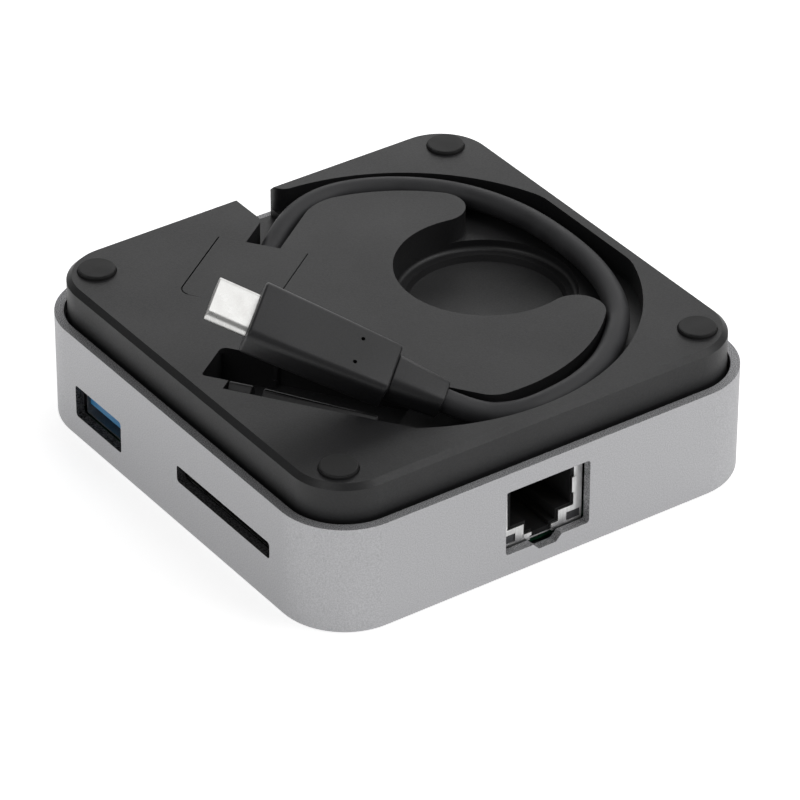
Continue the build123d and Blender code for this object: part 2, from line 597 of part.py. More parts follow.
CARD_SOCKET_WIDTH = 28.2
CARD_SOCKET_DEPTH = 25.0
CARD_SOCKET_FOOT = 8.5
PILLAR_RADIUS = 1.8
PILLAR_GAP = 0.7             # card socket's side to pillar
PILLAR_OFF = CARD_SOCKET_WIDTH / 2 + PILLAR_GAP + PILLAR_RADIUS
RISER_PILLARS = [(-26.0, CARD_Y - PILLAR_OFF), (-26.0, CARD_Y + PILLAR_OFF)]
RISER_LINK_X = -13.4
RISER_LINK = (2.4, 18.0)

with BuildPart() as riser_board:
    with BuildSketch(Plane.XY.offset(RISER_FOOT)):
        with Locations((-BOARD_HALF, CARD_Y)):
            Rectangle(BOARD_HALF + RISER_LINK_X + 2.4, CARD_SOCKET_WIDTH + 2.4, align=(Align.MIN, Align.CENTER))
        with Locations(*RISER_PILLARS):
            Circle(PILLAR_RADIUS + 1)
            Circle(SCREW_RADIUS + SCREW_FIT, mode=Mode.SUBTRACT)
    extrude(amount=RISER_THICK)
keep(riser_board, "riser_board")

with BuildPart() as riser_pillars:
    with BuildSketch(Plane.XY.offset(BOARD_TOP)):
        with Locations(*RISER_PILLARS):
            RegularPolygon(PILLAR_RADIUS, 6)
            Circle(SCREW_RADIUS + SCREW_FIT, mode=Mode.SUBTRACT)
    extrude(amount=RISER_LIFT)
keep(riser_pillars, "riser_pillars")

with BuildPart() as riser_screws:
    with BuildSketch(Plane.XY.offset(RISER_TOP)):
        with Locations(*RISER_PILLARS):
            Circle(SCREW_HEAD_RADIUS)
            RegularPolygon(SCREW_RADIUS, 6, mode=Mode.SUBTRACT)
    extrude(amount=SCREW_HEAD_HEIGHT)
    with BuildSketch(Plane.XY.offset(RISER_TOP)):
        with Locations(*RISER_PILLARS):
            Circle(SCREW_RADIUS)
    extrude(amount=SCREW_HEAD_HEIGHT / 2)
    with BuildSketch(Plane.XY.offset(RISER_TOP)):
        with Locations(*RISER_PILLARS):
            Circle(SCREW_RADIUS)
    extrude(amount=-RISER_THICK - RISER_LIFT / 2)
keep(riser_screws, "riser_screws")

with BuildPart() as riser_link:
    with BuildSketch(Plane.XY.offset(BOARD_TOP)):
        with Locations((RISER_LINK_X, CARD_Y)):
            Rectangle(RISER_LINK[0], RISER_LINK[1])
    extrude(amount=RISER_LIFT)
    chamfer(riser_link.edges().filter_by(Axis.Z), 0.4)
keep(riser_link, "riser_link")

for chip_name, place, size, height in (
    ("hub_chip", (9.0, 2.0), (9.0, 9.0), 0.9),
    ("network_chip", (1.0, -15.0), (6.0, 6.0), 0.9),
    ("power_chip", (24.0, -13.0), (5.0, 5.0), 0.9),
    ("video_chip", (19.0, 14.0), (6.5, 6.5), 0.9),
    ("network_transformer", (15.6, -32.5), (9.4, 12.7), 5.4),
    ("power_inductor", (17.0, -19.0), (6.8, 6.8), 2.8),
    ("lead_connector", (-20.55, 17.65), (11.0, 6.0), 4.4),
):
    with BuildPart() as chip:
        with BuildSketch(Plane.XY.offset(BOARD_TOP)):
            with Locations(place):
                Rectangle(*size)
        extrude(amount=height)
        chamfer(chip.faces().sort_by(Axis.Z)[-1].edges(), 0.15)
    keep(chip, chip_name)

with BuildPart() as capacitors:
    with BuildSketch(Plane.XY.offset(BOARD_TOP)):
        with Locations((9, 11), (12, 11), (-1, 6), (-1, 3), (28, -4), (28, -1), (-6, -14), (-6, -11)):
            Rectangle(1.6, 0.8)
    extrude(amount=0.8)
keep(capacitors, "capacitors")

with BuildPart() as thermal_pad:
    with BuildSketch(Plane.XY.offset(DECK)):
        with Locations((8.0, 1.0)):
            Rectangle(24, 24)
    extrude(amount=BOARD_LIFT)
keep(thermal_pad, "thermal_pad")

# ---------------------------------------------------------------- network socket
NET_WIDTH = NET_OPENING[0] - 0.4
NET_LOW = BOARD_TOP - NET_Z              # the socket's underside, from the middle of its opening
NET_HIGH = NET_OPENING[1] / 2 - 0.15
NET_DEPTH = 17.0
NET_CAVITY_DEPTH = 13.0
NET_MOUTH = (12.9, 6.9, 4.4)             # widths of plug, latch shoulder and latch
NET_STEPS = (-2.9, -4.9, -5.6)           # heights at which each of them ends
NET_ROOF = NET_HIGH - 1.0
NET_WINDOW = (6.55, -4.75, 2.9, 1.6)     # corner lamp windows: offset, height, width, height
NET_PITCH = 1.02

net_plane = inward_plane("front", NET_X, NET_Z, SOCKET_SETBACK)


def latch_outline(slack):
    """Stepped outline of plug, latch shoulder and latch, drawn in the open line builder."""
    Polyline(
        (-NET_MOUTH[0] / 2 + slack, NET_ROOF - slack),
        (-NET_MOUTH[0] / 2 + slack, NET_STEPS[0] + slack),
        (-NET_MOUTH[1] / 2 + slack, NET_STEPS[0] + slack),
        (-NET_MOUTH[1] / 2 + slack, NET_STEPS[1] + slack),
        (-NET_MOUTH[2] / 2 + slack, NET_STEPS[1] + slack),
        (-NET_MOUTH[2] / 2 + slack, NET_STEPS[2] + slack),
        (NET_MOUTH[2] / 2 - slack, NET_STEPS[2] + slack),
        (NET_MOUTH[2] / 2 - slack, NET_STEPS[1] + slack),
        (NET_MOUTH[1] / 2 - slack, NET_STEPS[1] + slack),
        (NET_MOUTH[1] / 2 - slack, NET_STEPS[0] + slack),
        (NET_MOUTH[0] / 2 - slack, NET_STEPS[0] + slack),
        (NET_MOUTH[0] / 2 - slack, NET_ROOF - slack),
        close=True,
    )


def box_profile(width, low, high):
    """Rectangle between two heights, centred across, in the open sketch builder."""
    with Locations((0, (low + high) / 2)):
        Rectangle(width, high - low)


with BuildPart() as network_shield:
    with BuildSketch(net_plane):
        box_profile(NET_WIDTH, NET_LOW, NET_HIGH)
    extrude(amount=NET_DEPTH)
    with BuildSketch(net_plane.offset(SHEET)):
        box_profile(NET_WIDTH - 2 * SHEET, NET_LOW + SHEET, NET_HIGH - SHEET)
    extrude(amount=NET_DEPTH, mode=Mode.SUBTRACT)
    with BuildSketch(net_plane):
        with BuildLine():
            latch_outline(0)
        make_face()
        with Locations((NET_WINDOW[0], NET_WINDOW[1]), (-NET_WINDOW[0], NET_WINDOW[1])):
            Rectangle(NET_WINDOW[2], NET_WINDOW[3])
    extrude(amount=SHEET, mode=Mode.SUBTRACT)
keep(network_shield, "network_shield")

with BuildPart() as network_housing:
    with BuildSketch(net_plane.offset(SHEET)):
        box_profile(NET_WIDTH - 2 * SHEET, NET_LOW + SHEET, NET_HIGH - SHEET)
    extrude(amount=NET_DEPTH - SHEET)
    with BuildSketch(net_plane.offset(SHEET)):
        with BuildLine():
            latch_outline(0.45)
        make_face()
    extrude(amount=NET_CAVITY_DEPTH, mode=Mode.SUBTRACT)
    with BuildSketch(net_plane.offset(SHEET)):
        with Locations((NET_WINDOW[0], NET_WINDOW[1]), (-NET_WINDOW[0], NET_WINDOW[1])):
            Rectangle(NET_WINDOW[2] - 0.4, NET_WINDOW[3])
    extrude(amount=NET_CAVITY_DEPTH / 2, mode=Mode.SUBTRACT)
keep(network_housing, "network_housing")

with BuildPart() as network_lamps:
    with BuildSketch(net_plane.offset(SHEET / 2)):
        with Locations((NET_WINDOW[0], NET_WINDOW[1]), (-NET_WINDOW[0], NET_WINDOW[1])):
            Rectangle(NET_WINDOW[2] - 0.4, NET_WINDOW[3] - 0.04)
    extrude(amount=NET_CAVITY_DEPTH / 2 + SHEET / 2)
keep(network_lamps, "network_lamps")

# each contact starts at the cavity's roof and slopes back towards its middle
contact_roof = NET_ROOF - 0.45
with BuildPart() as network_contacts:
    for place in range(8):
        across = (place - 3.5) * NET_PITCH
        side_plane = Plane(
            origin=net_plane.from_local_coords(Vector(across, 0, 0)),
            x_dir=net_plane.z_dir,
            z_dir=-net_plane.x_dir,
        )
        with BuildSketch(side_plane):
            with BuildLine():
                Polyline(
                    (3.2, contact_roof),
                    (3.8, contact_roof),
                    (10.4, contact_roof - 3.0),
                    (10.4, contact_roof - 3.5),
                    (9.9, contact_roof - 3.3),
                    close=True,
                )
            make_face()
        extrude(amount=0.22, both=True)
keep(network_contacts, "network_contacts")

# ---------------------------------------------------------------- USB sockets
USB_SHELL = (13.2, 5.8, 14.0)
USB_TONGUE = (11.1, 1.9, 9.2)
USB_TONGUE_Y = 1.15
USB_REAR = 3.6
LEG_WIDE = 1.4

for usb_name, wall, along in (("side_usb", "left", USB_LEFT_Y), ("rear_usb", "back", USB_BACK_X)):
    usb_plane = inward_plane(wall, along, USB_Z, SOCKET_SETBACK)
    usb_rear = usb_plane.offset(USB_SHELL[2] - USB_REAR)
    with BuildPart() as usb_shell:
        with BuildSketch(usb_plane):
            RectangleRounded(USB_SHELL[0], USB_SHELL[1], 0.5)
            RectangleRounded(USB_SHELL[0] - 2 * SHEET, USB_SHELL[1] - 2 * SHEET, 0.25, mode=Mode.SUBTRACT)
        extrude(amount=USB_SHELL[2])
        for leg_depth in (3.0, 10.5):
            with BuildSketch(usb_plane.offset(leg_depth)):
                for leg_side in (-1, 1):
                    with Locations((leg_side * (USB_SHELL[0] - SHEET) / 2, (BOARD_TOP - USB_Z) / 2)):
                        Rectangle(SHEET, USB_Z - BOARD_TOP)
            extrude(amount=LEG_WIDE)
    keep(usb_shell, f"{usb_name}_shell")
    with BuildPart() as usb_tongue:
        with BuildSketch(usb_rear):
            RectangleRounded(USB_SHELL[0] - 2 * SHEET - 0.1, USB_SHELL[1] - 2 * SHEET - 0.1, 0.3)
        extrude(amount=USB_REAR)
        with BuildSketch(usb_rear):
            with Locations((0, USB_TONGUE_Y)):
                Rectangle(USB_TONGUE[0], USB_TONGUE[1])
        extrude(amount=-USB_TONGUE[2])
        chamfer(usb_tongue.faces().sort_by(Axis(usb_rear.origin, -usb_rear.z_dir))[-1].edges(), 0.3)
    keep(usb_tongue, f"{usb_name}_tongue")
    with BuildPart() as usb_contacts:
        with BuildSketch(usb_rear):
            for across in (-3.5, -1.0, 1.0, 3.5):
                with Locations((across, USB_TONGUE_Y - USB_TONGUE[1] / 2 - 0.12)):
                    Rectangle(1.0, 0.24)
        extrude(amount=-USB_TONGUE[2] + 1.5)
    keep(usb_contacts, f"{usb_name}_contacts")

# ---------------------------------------------------------------- card socket, hung under the riser board
CARD_CAVITY = (25.0, 2.6, 22.0)
card_plane = inward_plane("left", CARD_Y, CARD_Z, SOCKET_SETBACK)
card_high = RISER_FOOT - CARD_Z
card_low = CARD_SOCKET_FOOT - CARD_Z

with BuildPart() as card_housing:
    with BuildSketch(card_plane):
        box_profile(CARD_SOCKET_WIDTH - 2 * SHEET, card_low + SHEET, card_high)
    extrude(amount=CARD_SOCKET_DEPTH)
    with BuildSketch(card_plane):
        Rectangle(CARD_CAVITY[0], CARD_CAVITY[1])
    extrude(amount=CARD_CAVITY[2], mode=Mode.SUBTRACT)
keep(card_housing, "card_housing")

with BuildPart() as card_cover:
    with BuildSketch(card_plane):
        box_profile(CARD_SOCKET_WIDTH, card_low, card_high)
    extrude(amount=CARD_SOCKET_DEPTH)
    with BuildSketch(card_plane):
        box_profile(CARD_SOCKET_WIDTH - 2 * SHEET, card_low + SHEET, card_high)
    extrude(amount=CARD_SOCKET_DEPTH, mode=Mode.SUBTRACT)
keep(card_cover, "card_cover")

with BuildPart() as card_contacts:
    with BuildSketch(card_plane.offset(CARD_CAVITY[2])):
        with GridLocations(2.5, 1, 9, 1):
            with Locations((0, CARD_CAVITY[1] / 2 - 0.2)):
                Rectangle(1.2, 0.4)
    extrude(amount=-7)
keep(card_contacts, "card_contacts")

# ---------------------------------------------------------------- video and power sockets
VIDEO_SHELL = (15.0, 5.6, 11.5)
VIDEO_BEVEL = 2.0
video_plane = inward_plane("right", VIDEO_Y, VIDEO_Z, SOCKET_SETBACK)


def video_outline(slack):
    """Six-sided outline of the video socket, narrow side up, in the open line builder."""
    half_wide = VIDEO_SHELL[0] / 2 - slack
    half_tall = VIDEO_SHELL[1] / 2 - slack
    Polyline(
        (-half_wide, -half_tall),
        (half_wide, -half_tall),
        (half_wide, half_tall - VIDEO_BEVEL),
        (half_wide - VIDEO_BEVEL, half_tall),
        (-half_wide + VIDEO_BEVEL, half_tall),
        (-half_wide, half_tall - VIDEO_BEVEL),
        close=True,
    )


with BuildPart() as video_shell:
    with BuildSketch(video_plane):
        with BuildLine():
            video_outline(0)
        make_face()
        with BuildLine():
            video_outline(SHEET)
        make_face(mode=Mode.SUBTRACT)
    extrude(amount=VIDEO_SHELL[2])
    for leg_depth in (2.0, 8.0):
        with BuildSketch(video_plane.offset(leg_depth)):
            for leg_side in (-1, 1):
                with Locations((leg_side * (VIDEO_SHELL[0] - SHEET) / 2, (BOARD_TOP - VIDEO_Z) / 2)):
                    Rectangle(SHEET, VIDEO_Z - BOARD_TOP)
        extrude(amount=LEG_WIDE)
keep(video_shell, "video_shell")

with BuildPart() as video_tongue:
    with BuildSketch(video_plane.offset(VIDEO_SHELL[2] - 3)):
        with BuildLine():
            video_outline(SHEET + 0.05)
        make_face()
    extrude(amount=3)
    with BuildSketch(video_plane.offset(VIDEO_SHELL[2] - 3)):
        Rectangle(11.0, 1.2)
    extrude(amount=-6.5)
keep(video_tongue, "video_tongue")

POWER_SHELL = (8.94, 3.26, 7.6)
power_plane = inward_plane("right", POWER_Y, POWER_Z, SOCKET_SETBACK)

with BuildPart() as power_shell:
    with BuildSketch(power_plane):
        SlotOverall(POWER_SHELL[0], POWER_SHELL[1])
        SlotOverall(POWER_SHELL[0] - 2 * SHEET, POWER_SHELL[1] - 2 * SHEET, mode=Mode.SUBTRACT)
    extrude(amount=POWER_SHELL[2])
    for leg_depth in (1.5, 5.0):
        with BuildSketch(power_plane.offset(leg_depth)):
            for leg_side in (-1, 1):
                with Locations((leg_side * (POWER_SHELL[0] - SHEET) / 2, (BOARD_TOP - POWER_Z) / 2)):
                    Rectangle(SHEET, POWER_Z - BOARD_TOP)
        extrude(amount=LEG_WIDE)
keep(power_shell, "power_shell")

with BuildPart() as power_tongue:
    with BuildSketch(power_plane.offset(POWER_SHELL[2] - 1.5)):
        SlotOverall(POWER_SHELL[0] - 2 * SHEET - 0.1, POWER_SHELL[1] - 2 * SHEET - 0.1)
    extrude(amount=1.5)
    with BuildSketch(power_plane.offset(POWER_SHELL[2] - 1.5)):
        RectangleRounded(6.7, 0.7, 0.2)
    extrude(amount=-5.2)
keep(power_tongue, "power_tongue")

# ---------------------------------------------------------------- grommet, inner leads, cord
CORD_ENTRY_Z = (ENTRY_FLOOR + SHELF_Z) / 2


def entry_point(along, height):
    """Point on the entry channel's middle line, along it from the cover's bridging edge."""
    point = Vector(COVER_AT[0], COVER_AT[1], height) + cover_way * along
    return (point.X, point.Y, point.Z)


with BuildPart() as cord_grommet:
    with BuildSketch(cover_plane(ENTRY_FLOOR)):
        with Locations((-GROMMET_FACE, 0)):
            Rectangle(GROMMET_LENGTH, GROMMET_WIDTH, align=(Align.MAX, Align.CENTER))
        with Locations((-GROMMET_FACE - GROMMET_LENGTH / 2, 0)):
            Rectangle(FLANGE_THICK, FLANGE_WIDTH)
    extrude(amount=SHELF_Z - ENTRY_FLOOR)
keep(cord_grommet, "cord_grommet")

LEAD_DROP = -14.8                # the leads turn down here, along the entry channel
lead_end = BOARD_TOP + 4.4
with BuildPart() as inner_leads:
    with BuildLine() as lead_path:
        FilletPolyline(
            entry_point(-GROMMET_FACE - GROMMET_LENGTH, CORD_ENTRY_Z),
            entry_point(LEAD_DROP, CORD_ENTRY_Z),
            entry_point(LEAD_DROP, lead_end),
            radius=2.0,
        )
    with BuildSketch(lead_path.line ^ 0):
        Circle(LEAD_DIAMETER / 2)
    sweep()
keep(inner_leads, "inner_leads")

# The cord runs from the grommet clockwise round the groove, rises out of it and ends in the plug.
CORD_ROUTE = [
    (-12.967, 23.064, 22.85),
    (-7.30, 27.10, 22.87),
    (0.20, 32.60, 24.70),
    (7.20, 35.50, 25.10),
    (14.40, 35.20, 25.10),
    (22.80, 31.00, 25.10),
    (30.10, 23.60, 25.00),
    (34.60, 13.00, 24.90),
    (35.60, 1.50, 24.90),
    (34.50, -10.50, 24.90),
    (29.80, -22.40, 24.90),
    (20.90, -31.10, 24.95),
    (12.20, -35.60, 25.00),
    (3.15, -36.75, 24.80),
    (-1.95, -35.60, 24.30),
    (-6.82, -32.49, 24.42),
    (-10.73, -28.80, 26.70),
]


def cord_radii(route):
    """Largest arc for each corner of a route: 0.45 of its shorter run over the half turn's tangent."""
    points = [Vector(*place) for place in route]
    radii = []
    for before, corner, after in zip(points, points[1:], points[2:]):
        arriving = corner - before
        leaving = after - corner
        half_turn = radians(arriving.get_angle(leaving)) / 2
        radii.append(0.45 * min(arriving.length, leaving.length) * cos(half_turn) / sin(half_turn))
    return radii


radii = cord_radii(CORD_ROUTE)
with BuildPart() as cord:
    with BuildLine() as cord_path:
        FilletPolyline(*CORD_ROUTE, radius=radii)
    with BuildSketch(cord_path.line ^ 0):
        Circle(CORD_DIAMETER / 2)
    sweep()
keep(cord, "cord")
cord_section = pi * CORD_DIAMETER**2 / 4
cord_length = cord_path.wires()[0].length
print("cord radii", [round(radius, 1) for radius in radii])
print("cord length", round(cord_length, 1))
print("cord volume over section times length", round(cord.part.volume / cord_section / cord_length, 4))

# ---------------------------------------------------------------- plug
# The plug's own frame stands on the cord's end: Z towards the plug's tip, X across its width.
plug_heading = radians(PLUG_HEADING)
plug_pitch = radians(PLUG_PITCH)
plug_roll = radians(PLUG_ROLL)
plug_nose = Vector(-cos(plug_heading) * cos(plug_pitch), -sin(plug_heading) * cos(plug_pitch), sin(plug_pitch))
plug_level = Vector(-sin(plug_heading), cos(plug_heading), 0)
plug_up = plug_nose.cross(plug_level)
if plug_up.Z < 0:
    plug_up = -plug_up
plug_width = plug_level * cos(plug_roll) + plug_up * sin(plug_roll)
plug_plane = Plane(origin=Vector(*CORD_ROUTE[-1]) + plug_nose * PLUG_SEAM, x_dir=plug_width, z_dir=plug_nose)
body_plane = plug_plane.offset(PLUG_RELIEF)
shell_plane = body_plane.offset(PLUG_BODY[2])

with BuildPart() as plug_relief:
    with BuildSketch(plug_plane):
        RectangleRounded(*RELIEF_ENDS[0])
    with BuildSketch(body_plane):
        RectangleRounded(*RELIEF_ENDS[1])
    loft()
keep(plug_relief, "plug_relief")

with BuildPart() as plug_body:
    with BuildSketch(body_plane):
        RectangleRounded(PLUG_BODY_NECK[0], PLUG_BODY_NECK[1], PLUG_CORNER)
    with BuildSketch(shell_plane):
        RectangleRounded(PLUG_BODY[0], PLUG_BODY[1], PLUG_CORNER)
    loft()
    chamfer(plug_body.faces().sort_by(Axis(body_plane.origin, plug_nose))[-1].edges(), 0.4)
    chamfer(plug_body.faces().sort_by(Axis(body_plane.origin, plug_nose))[0].edges(), 0.4)
keep(plug_body, "plug_body")

with BuildPart() as plug_shell:
    with BuildSketch(shell_plane):
        SlotOverall(PLUG_SHELL[0], PLUG_SHELL[1])
    extrude(amount=PLUG_SHELL[2])
    fillet(plug_shell.faces().sort_by(Axis(body_plane.origin, plug_nose))[-1].edges(), 0.2)
    with BuildSketch(shell_plane.offset(PLUG_SHELL[2])):
        SlotOverall(PLUG_SHELL[0] - 2 * SHEET, PLUG_SHELL[1] - 2 * SHEET)
    extrude(amount=-PLUG_SHELL[2] + SHEET, mode=Mode.SUBTRACT)
keep(plug_shell, "plug_shell")

with BuildPart() as plug_insert:
    with BuildSketch(shell_plane.offset(SHEET)):
        SlotOverall(PLUG_SHELL[0] - 2 * SHEET, PLUG_SHELL[1] - 2 * SHEET)
    extrude(amount=PLUG_SHELL[2] - 2 * SHEET)
    with BuildSketch(shell_plane.offset(PLUG_SHELL[2])):
        Rectangle(6.2, 0.9)
    extrude(amount=-PLUG_SHELL[2] + 2, mode=Mode.SUBTRACT)
keep(plug_insert, "plug_insert")
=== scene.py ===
"""Laptop docking station lying on its metal deck, base up.

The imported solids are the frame. This script dresses them, adds the pieces whose fine form the solids
don't carry, and lights and frames the whole.
"""

import logging
from dataclasses import dataclass
from enum import Enum
from math import cos, pi, radians, sin
from typing import Callable

import bmesh
import bpy
from bpy.types import Material, Node, NodeSocket, NodeTree, Object
from mathutils import Matrix, Vector


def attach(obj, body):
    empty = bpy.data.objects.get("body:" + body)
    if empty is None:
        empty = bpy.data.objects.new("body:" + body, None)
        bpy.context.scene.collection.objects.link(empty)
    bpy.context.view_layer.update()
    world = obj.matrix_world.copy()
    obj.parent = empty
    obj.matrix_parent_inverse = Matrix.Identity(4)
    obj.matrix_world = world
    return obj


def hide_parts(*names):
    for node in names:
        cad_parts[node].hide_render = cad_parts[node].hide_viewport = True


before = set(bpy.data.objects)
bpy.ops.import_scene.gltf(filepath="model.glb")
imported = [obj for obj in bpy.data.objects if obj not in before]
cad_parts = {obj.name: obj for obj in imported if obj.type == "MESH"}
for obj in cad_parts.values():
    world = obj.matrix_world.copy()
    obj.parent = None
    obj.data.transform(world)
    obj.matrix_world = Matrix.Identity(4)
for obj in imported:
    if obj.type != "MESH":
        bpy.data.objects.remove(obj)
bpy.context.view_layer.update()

MM = 0.001
BODY = "root"

# Places nearer than this, in metres, count as one.
SAME_PLACE = 1e-6

Pair = tuple[float, float]
Triple = tuple[float, float, float]
Box = tuple[Triple, Triple]

logging.basicConfig(level=logging.INFO, format="%(message)s")
log = logging.getLogger("dock")


# ---------------------------------------------------------------- colour and nodes
def linear(hex_colour: str) -> tuple[float, float, float, float]:
    """Turns an sRGB hex colour into linear light.

    Args:
        hex_colour: Six hex digits, such as "8a8b8d".

    Returns:
        Red, green, blue and alpha, linear.
    """
    channels = []
    for start in (0, 2, 4):
        value = int(hex_colour[start:start + 2], 16) / 255
        channels.append(value / 12.92 if value <= 0.04045 else ((value + 0.055) / 1.055) ** 2.4)
    return (channels[0], channels[1], channels[2], 1.0)


def add_node(tree: NodeTree, kind: str, values: dict | None = None, links: dict | None = None,
             **settings: object) -> Node:
    """Adds one node with its settings, socket values and incoming links.

    Args:
        tree: Node tree that gets it.
        kind: Blender's name for the kind of node.
        values: Socket name or number to constant value.
        links: Socket name or number to the output that feeds it.
        **settings: The node's own properties.

    Returns:
        The new node.
    """
    node = tree.nodes.new(kind)
    for name, value in settings.items():
        setattr(node, name, value)
    for socket, value in (values or {}).items():
        node.inputs[socket].default_value = value
    for socket, source in (links or {}).items():
        tree.links.new(source, node.inputs[socket])
    return node


# ---------------------------------------------------------------- finishes
@dataclass(frozen=True)
class Finish:
    """A surface finish, built once as a material with Object coordinates.

    Attributes:
        name: The finish in a maker's words.
        colour: sRGB hex colour of the clean surface.
        roughness: Microfacet roughness.
        metallic: 1 for bare metal.
        ior: Refractive index of a plastic or rubber.
        sheen: Change of roughness at the low and high end of the finish's mottle.
        relief: Strength of the grain's bumps.
        depth_mm: Their depth.
    """

    name: str
    colour: str
    roughness: float = 0.5
    metallic: float = 0.0
    ior: float = 1.5
    sheen: Pair = (0.0, 0.0)
    relief: float = 0.0
    depth_mm: float = 0.0

    def pattern(self, tree: NodeTree, place: NodeSocket, shader: Node) -> None:
        """Adds what the finish shows beyond its plain values. The plain finish adds nothing."""

    def material(self) -> Material:
        """Builds the material, or takes the one that exists already.

        Returns:
            The material.
        """
        made = bpy.data.materials.get(self.name)
        if made:
            return made
        made = bpy.data.materials.new(self.name)
        made.use_nodes = True
        tree = made.node_tree
        tree.nodes.clear()
        place = add_node(tree, "ShaderNodeTexCoord").outputs["Object"]
        shader = add_node(tree, "ShaderNodeBsdfPrincipled", {
            "Base Color": linear(self.colour),
            "Roughness": self.roughness,
            "Metallic": self.metallic,
            "IOR": self.ior,
        })
        add_node(tree, "ShaderNodeOutputMaterial", links={"Surface": shader.outputs["BSDF"]})
        self.pattern(tree, place, shader)
        made.diffuse_color = linear(self.colour)
        return made

    def mottle(self, tree: NodeTree, noise: NodeSocket, shader: Node,
               colours: tuple[str, str], span: Pair = (0.35, 0.65)) -> None:
        """Spreads a noise over the shader's colour and roughness.

        Args:
            tree: The material's node tree.
            noise: Noise output, 0 to 1.
            shader: Principled shader that is fed.
            colours: sRGB hex colours at the noise's low and high end.
            span: Noise values taken as its two ends.
        """
        ramp = add_node(tree, "ShaderNodeValToRGB", links={"Fac": noise})
        for stop, place, colour in zip(ramp.color_ramp.elements, span, colours):
            stop.position = place
            stop.color = linear(colour)
        spread = add_node(tree, "ShaderNodeMapRange", {
            "From Min": span[0],
            "From Max": span[1],
            "To Min": self.roughness + self.sheen[0],
            "To Max": self.roughness + self.sheen[1],
        }, {"Value": noise})
        tree.links.new(ramp.outputs["Color"], shader.inputs["Base Color"])
        tree.links.new(spread.outputs["Result"], shader.inputs["Roughness"])

    def roughen(self, tree: NodeTree, height: NodeSocket, shader: Node) -> None:
        """Raises the surface where a pattern is high, as deep as the finish's own grain.

        Args:
            tree: The material's node tree.
            height: Pattern output, 0 to 1.
            shader: Principled shader that is fed.
        """
        bump = add_node(tree, "ShaderNodeBump", {
            "Strength": self.relief,
            "Distance": self.depth_mm * MM,
        }, {"Height": height})
        tree.links.new(bump.outputs["Normal"], shader.inputs["Normal"])


@dataclass(frozen=True)
class BlastedAluminium(Finish):
    """Bead-blasted, clear-anodised aluminium: even satin with a fine sparkle and faint drawing lines.

    Attributes:
        dark: sRGB hex colour of the blast pits.
        pit_mm: Width of a blast pit, drawn coarser than the real 0.05 mm so that it shows.
        line_mm: Spacing of the faint upright lines left by polishing.
        line_stretch: Scale of those lines along X, Y and Z.
        line_share: Their share in the whole, 0 to 1.
        spread: Noise values taken as the pits' darkest and lightest.
    """

    dark: str = "8f9092"
    pit_mm: float = 0.22
    line_mm: float = 0.5
    line_stretch: Triple = (1.0, 1.0, 0.03)
    line_share: float = 0.04
    spread: Pair = (0.38, 0.62)
    sheen: Pair = (0.06, -0.04)
    relief: float = 0.35
    depth_mm: float = 0.02

    def pattern(self, tree: NodeTree, place: NodeSocket, shader: Node) -> None:
        """Adds pits, their sparkle and the upright lines.

        Args:
            tree: The material's node tree.
            place: Object coordinates.
            shader: Principled shader that is fed.
        """
        pits = add_node(tree, "ShaderNodeTexNoise", {
            "Scale": 1 / (self.pit_mm * MM),
            "Detail": 3.0,
            "Roughness": 0.6,
        }, {"Vector": place})
        upright = add_node(tree, "ShaderNodeMapping", {"Scale": self.line_stretch}, {"Vector": place})
        lines = add_node(tree, "ShaderNodeTexNoise", {
            "Scale": 1 / (self.line_mm * MM),
            "Detail": 2.0,
        }, {"Vector": upright.outputs["Vector"]})
        both = add_node(tree, "ShaderNodeMix", {"Factor": self.line_share}, {
            "A": pits.outputs["Fac"],
            "B": lines.outputs["Fac"],
        })
        self.mottle(tree, both.outputs[0], shader, (self.dark, self.colour), self.spread)
        self.roughen(tree, both.outputs[0], shader)


@dataclass(frozen=True)
class GrainedPlastic(Finish):
    """Plastic moulded against a spark-eroded tool: matt, with tiny rounded craters.

    Attributes:
        worn: sRGB hex colour of the rubbed tops of the grain.
        grain_mm: Width of a crater, drawn coarser than the real 0.1 mm so that it shows.
        slow_mm: Width of the slow changes of sheen.
        slow_share: Their share in the whole, 0 to 1.
    """

    worn: str = "2b2b2c"
    grain_mm: float = 0.3
    slow_mm: float = 16.667
    slow_share: float = 0.35
    sheen: Pair = (0.05, -0.05)
    relief: float = 0.5
    depth_mm: float = 0.03

    def pattern(self, tree: NodeTree, place: NodeSocket, shader: Node) -> None:
        """Adds craters and slow changes of sheen.

        Args:
            tree: The material's node tree.
            place: Object coordinates.
            shader: Principled shader that is fed.
        """
        grain = add_node(tree, "ShaderNodeTexNoise", {
            "Scale": 1 / (self.grain_mm * MM),
            "Detail": 4.0,
            "Roughness": 0.65,
        }, {"Vector": place})
        slow = add_node(tree, "ShaderNodeTexNoise", {
            "Scale": 1 / (self.slow_mm * MM),
            "Detail": 2.0,
        }, {"Vector": place})
        both = add_node(tree, "ShaderNodeMix", {"Factor": self.slow_share}, {
            "A": grain.outputs["Fac"],
            "B": slow.outputs["Fac"],
        })
        self.mottle(tree, both.outputs[0], shader, (self.colour, self.worn))
        self.roughen(tree, grain.outputs["Fac"], shader)


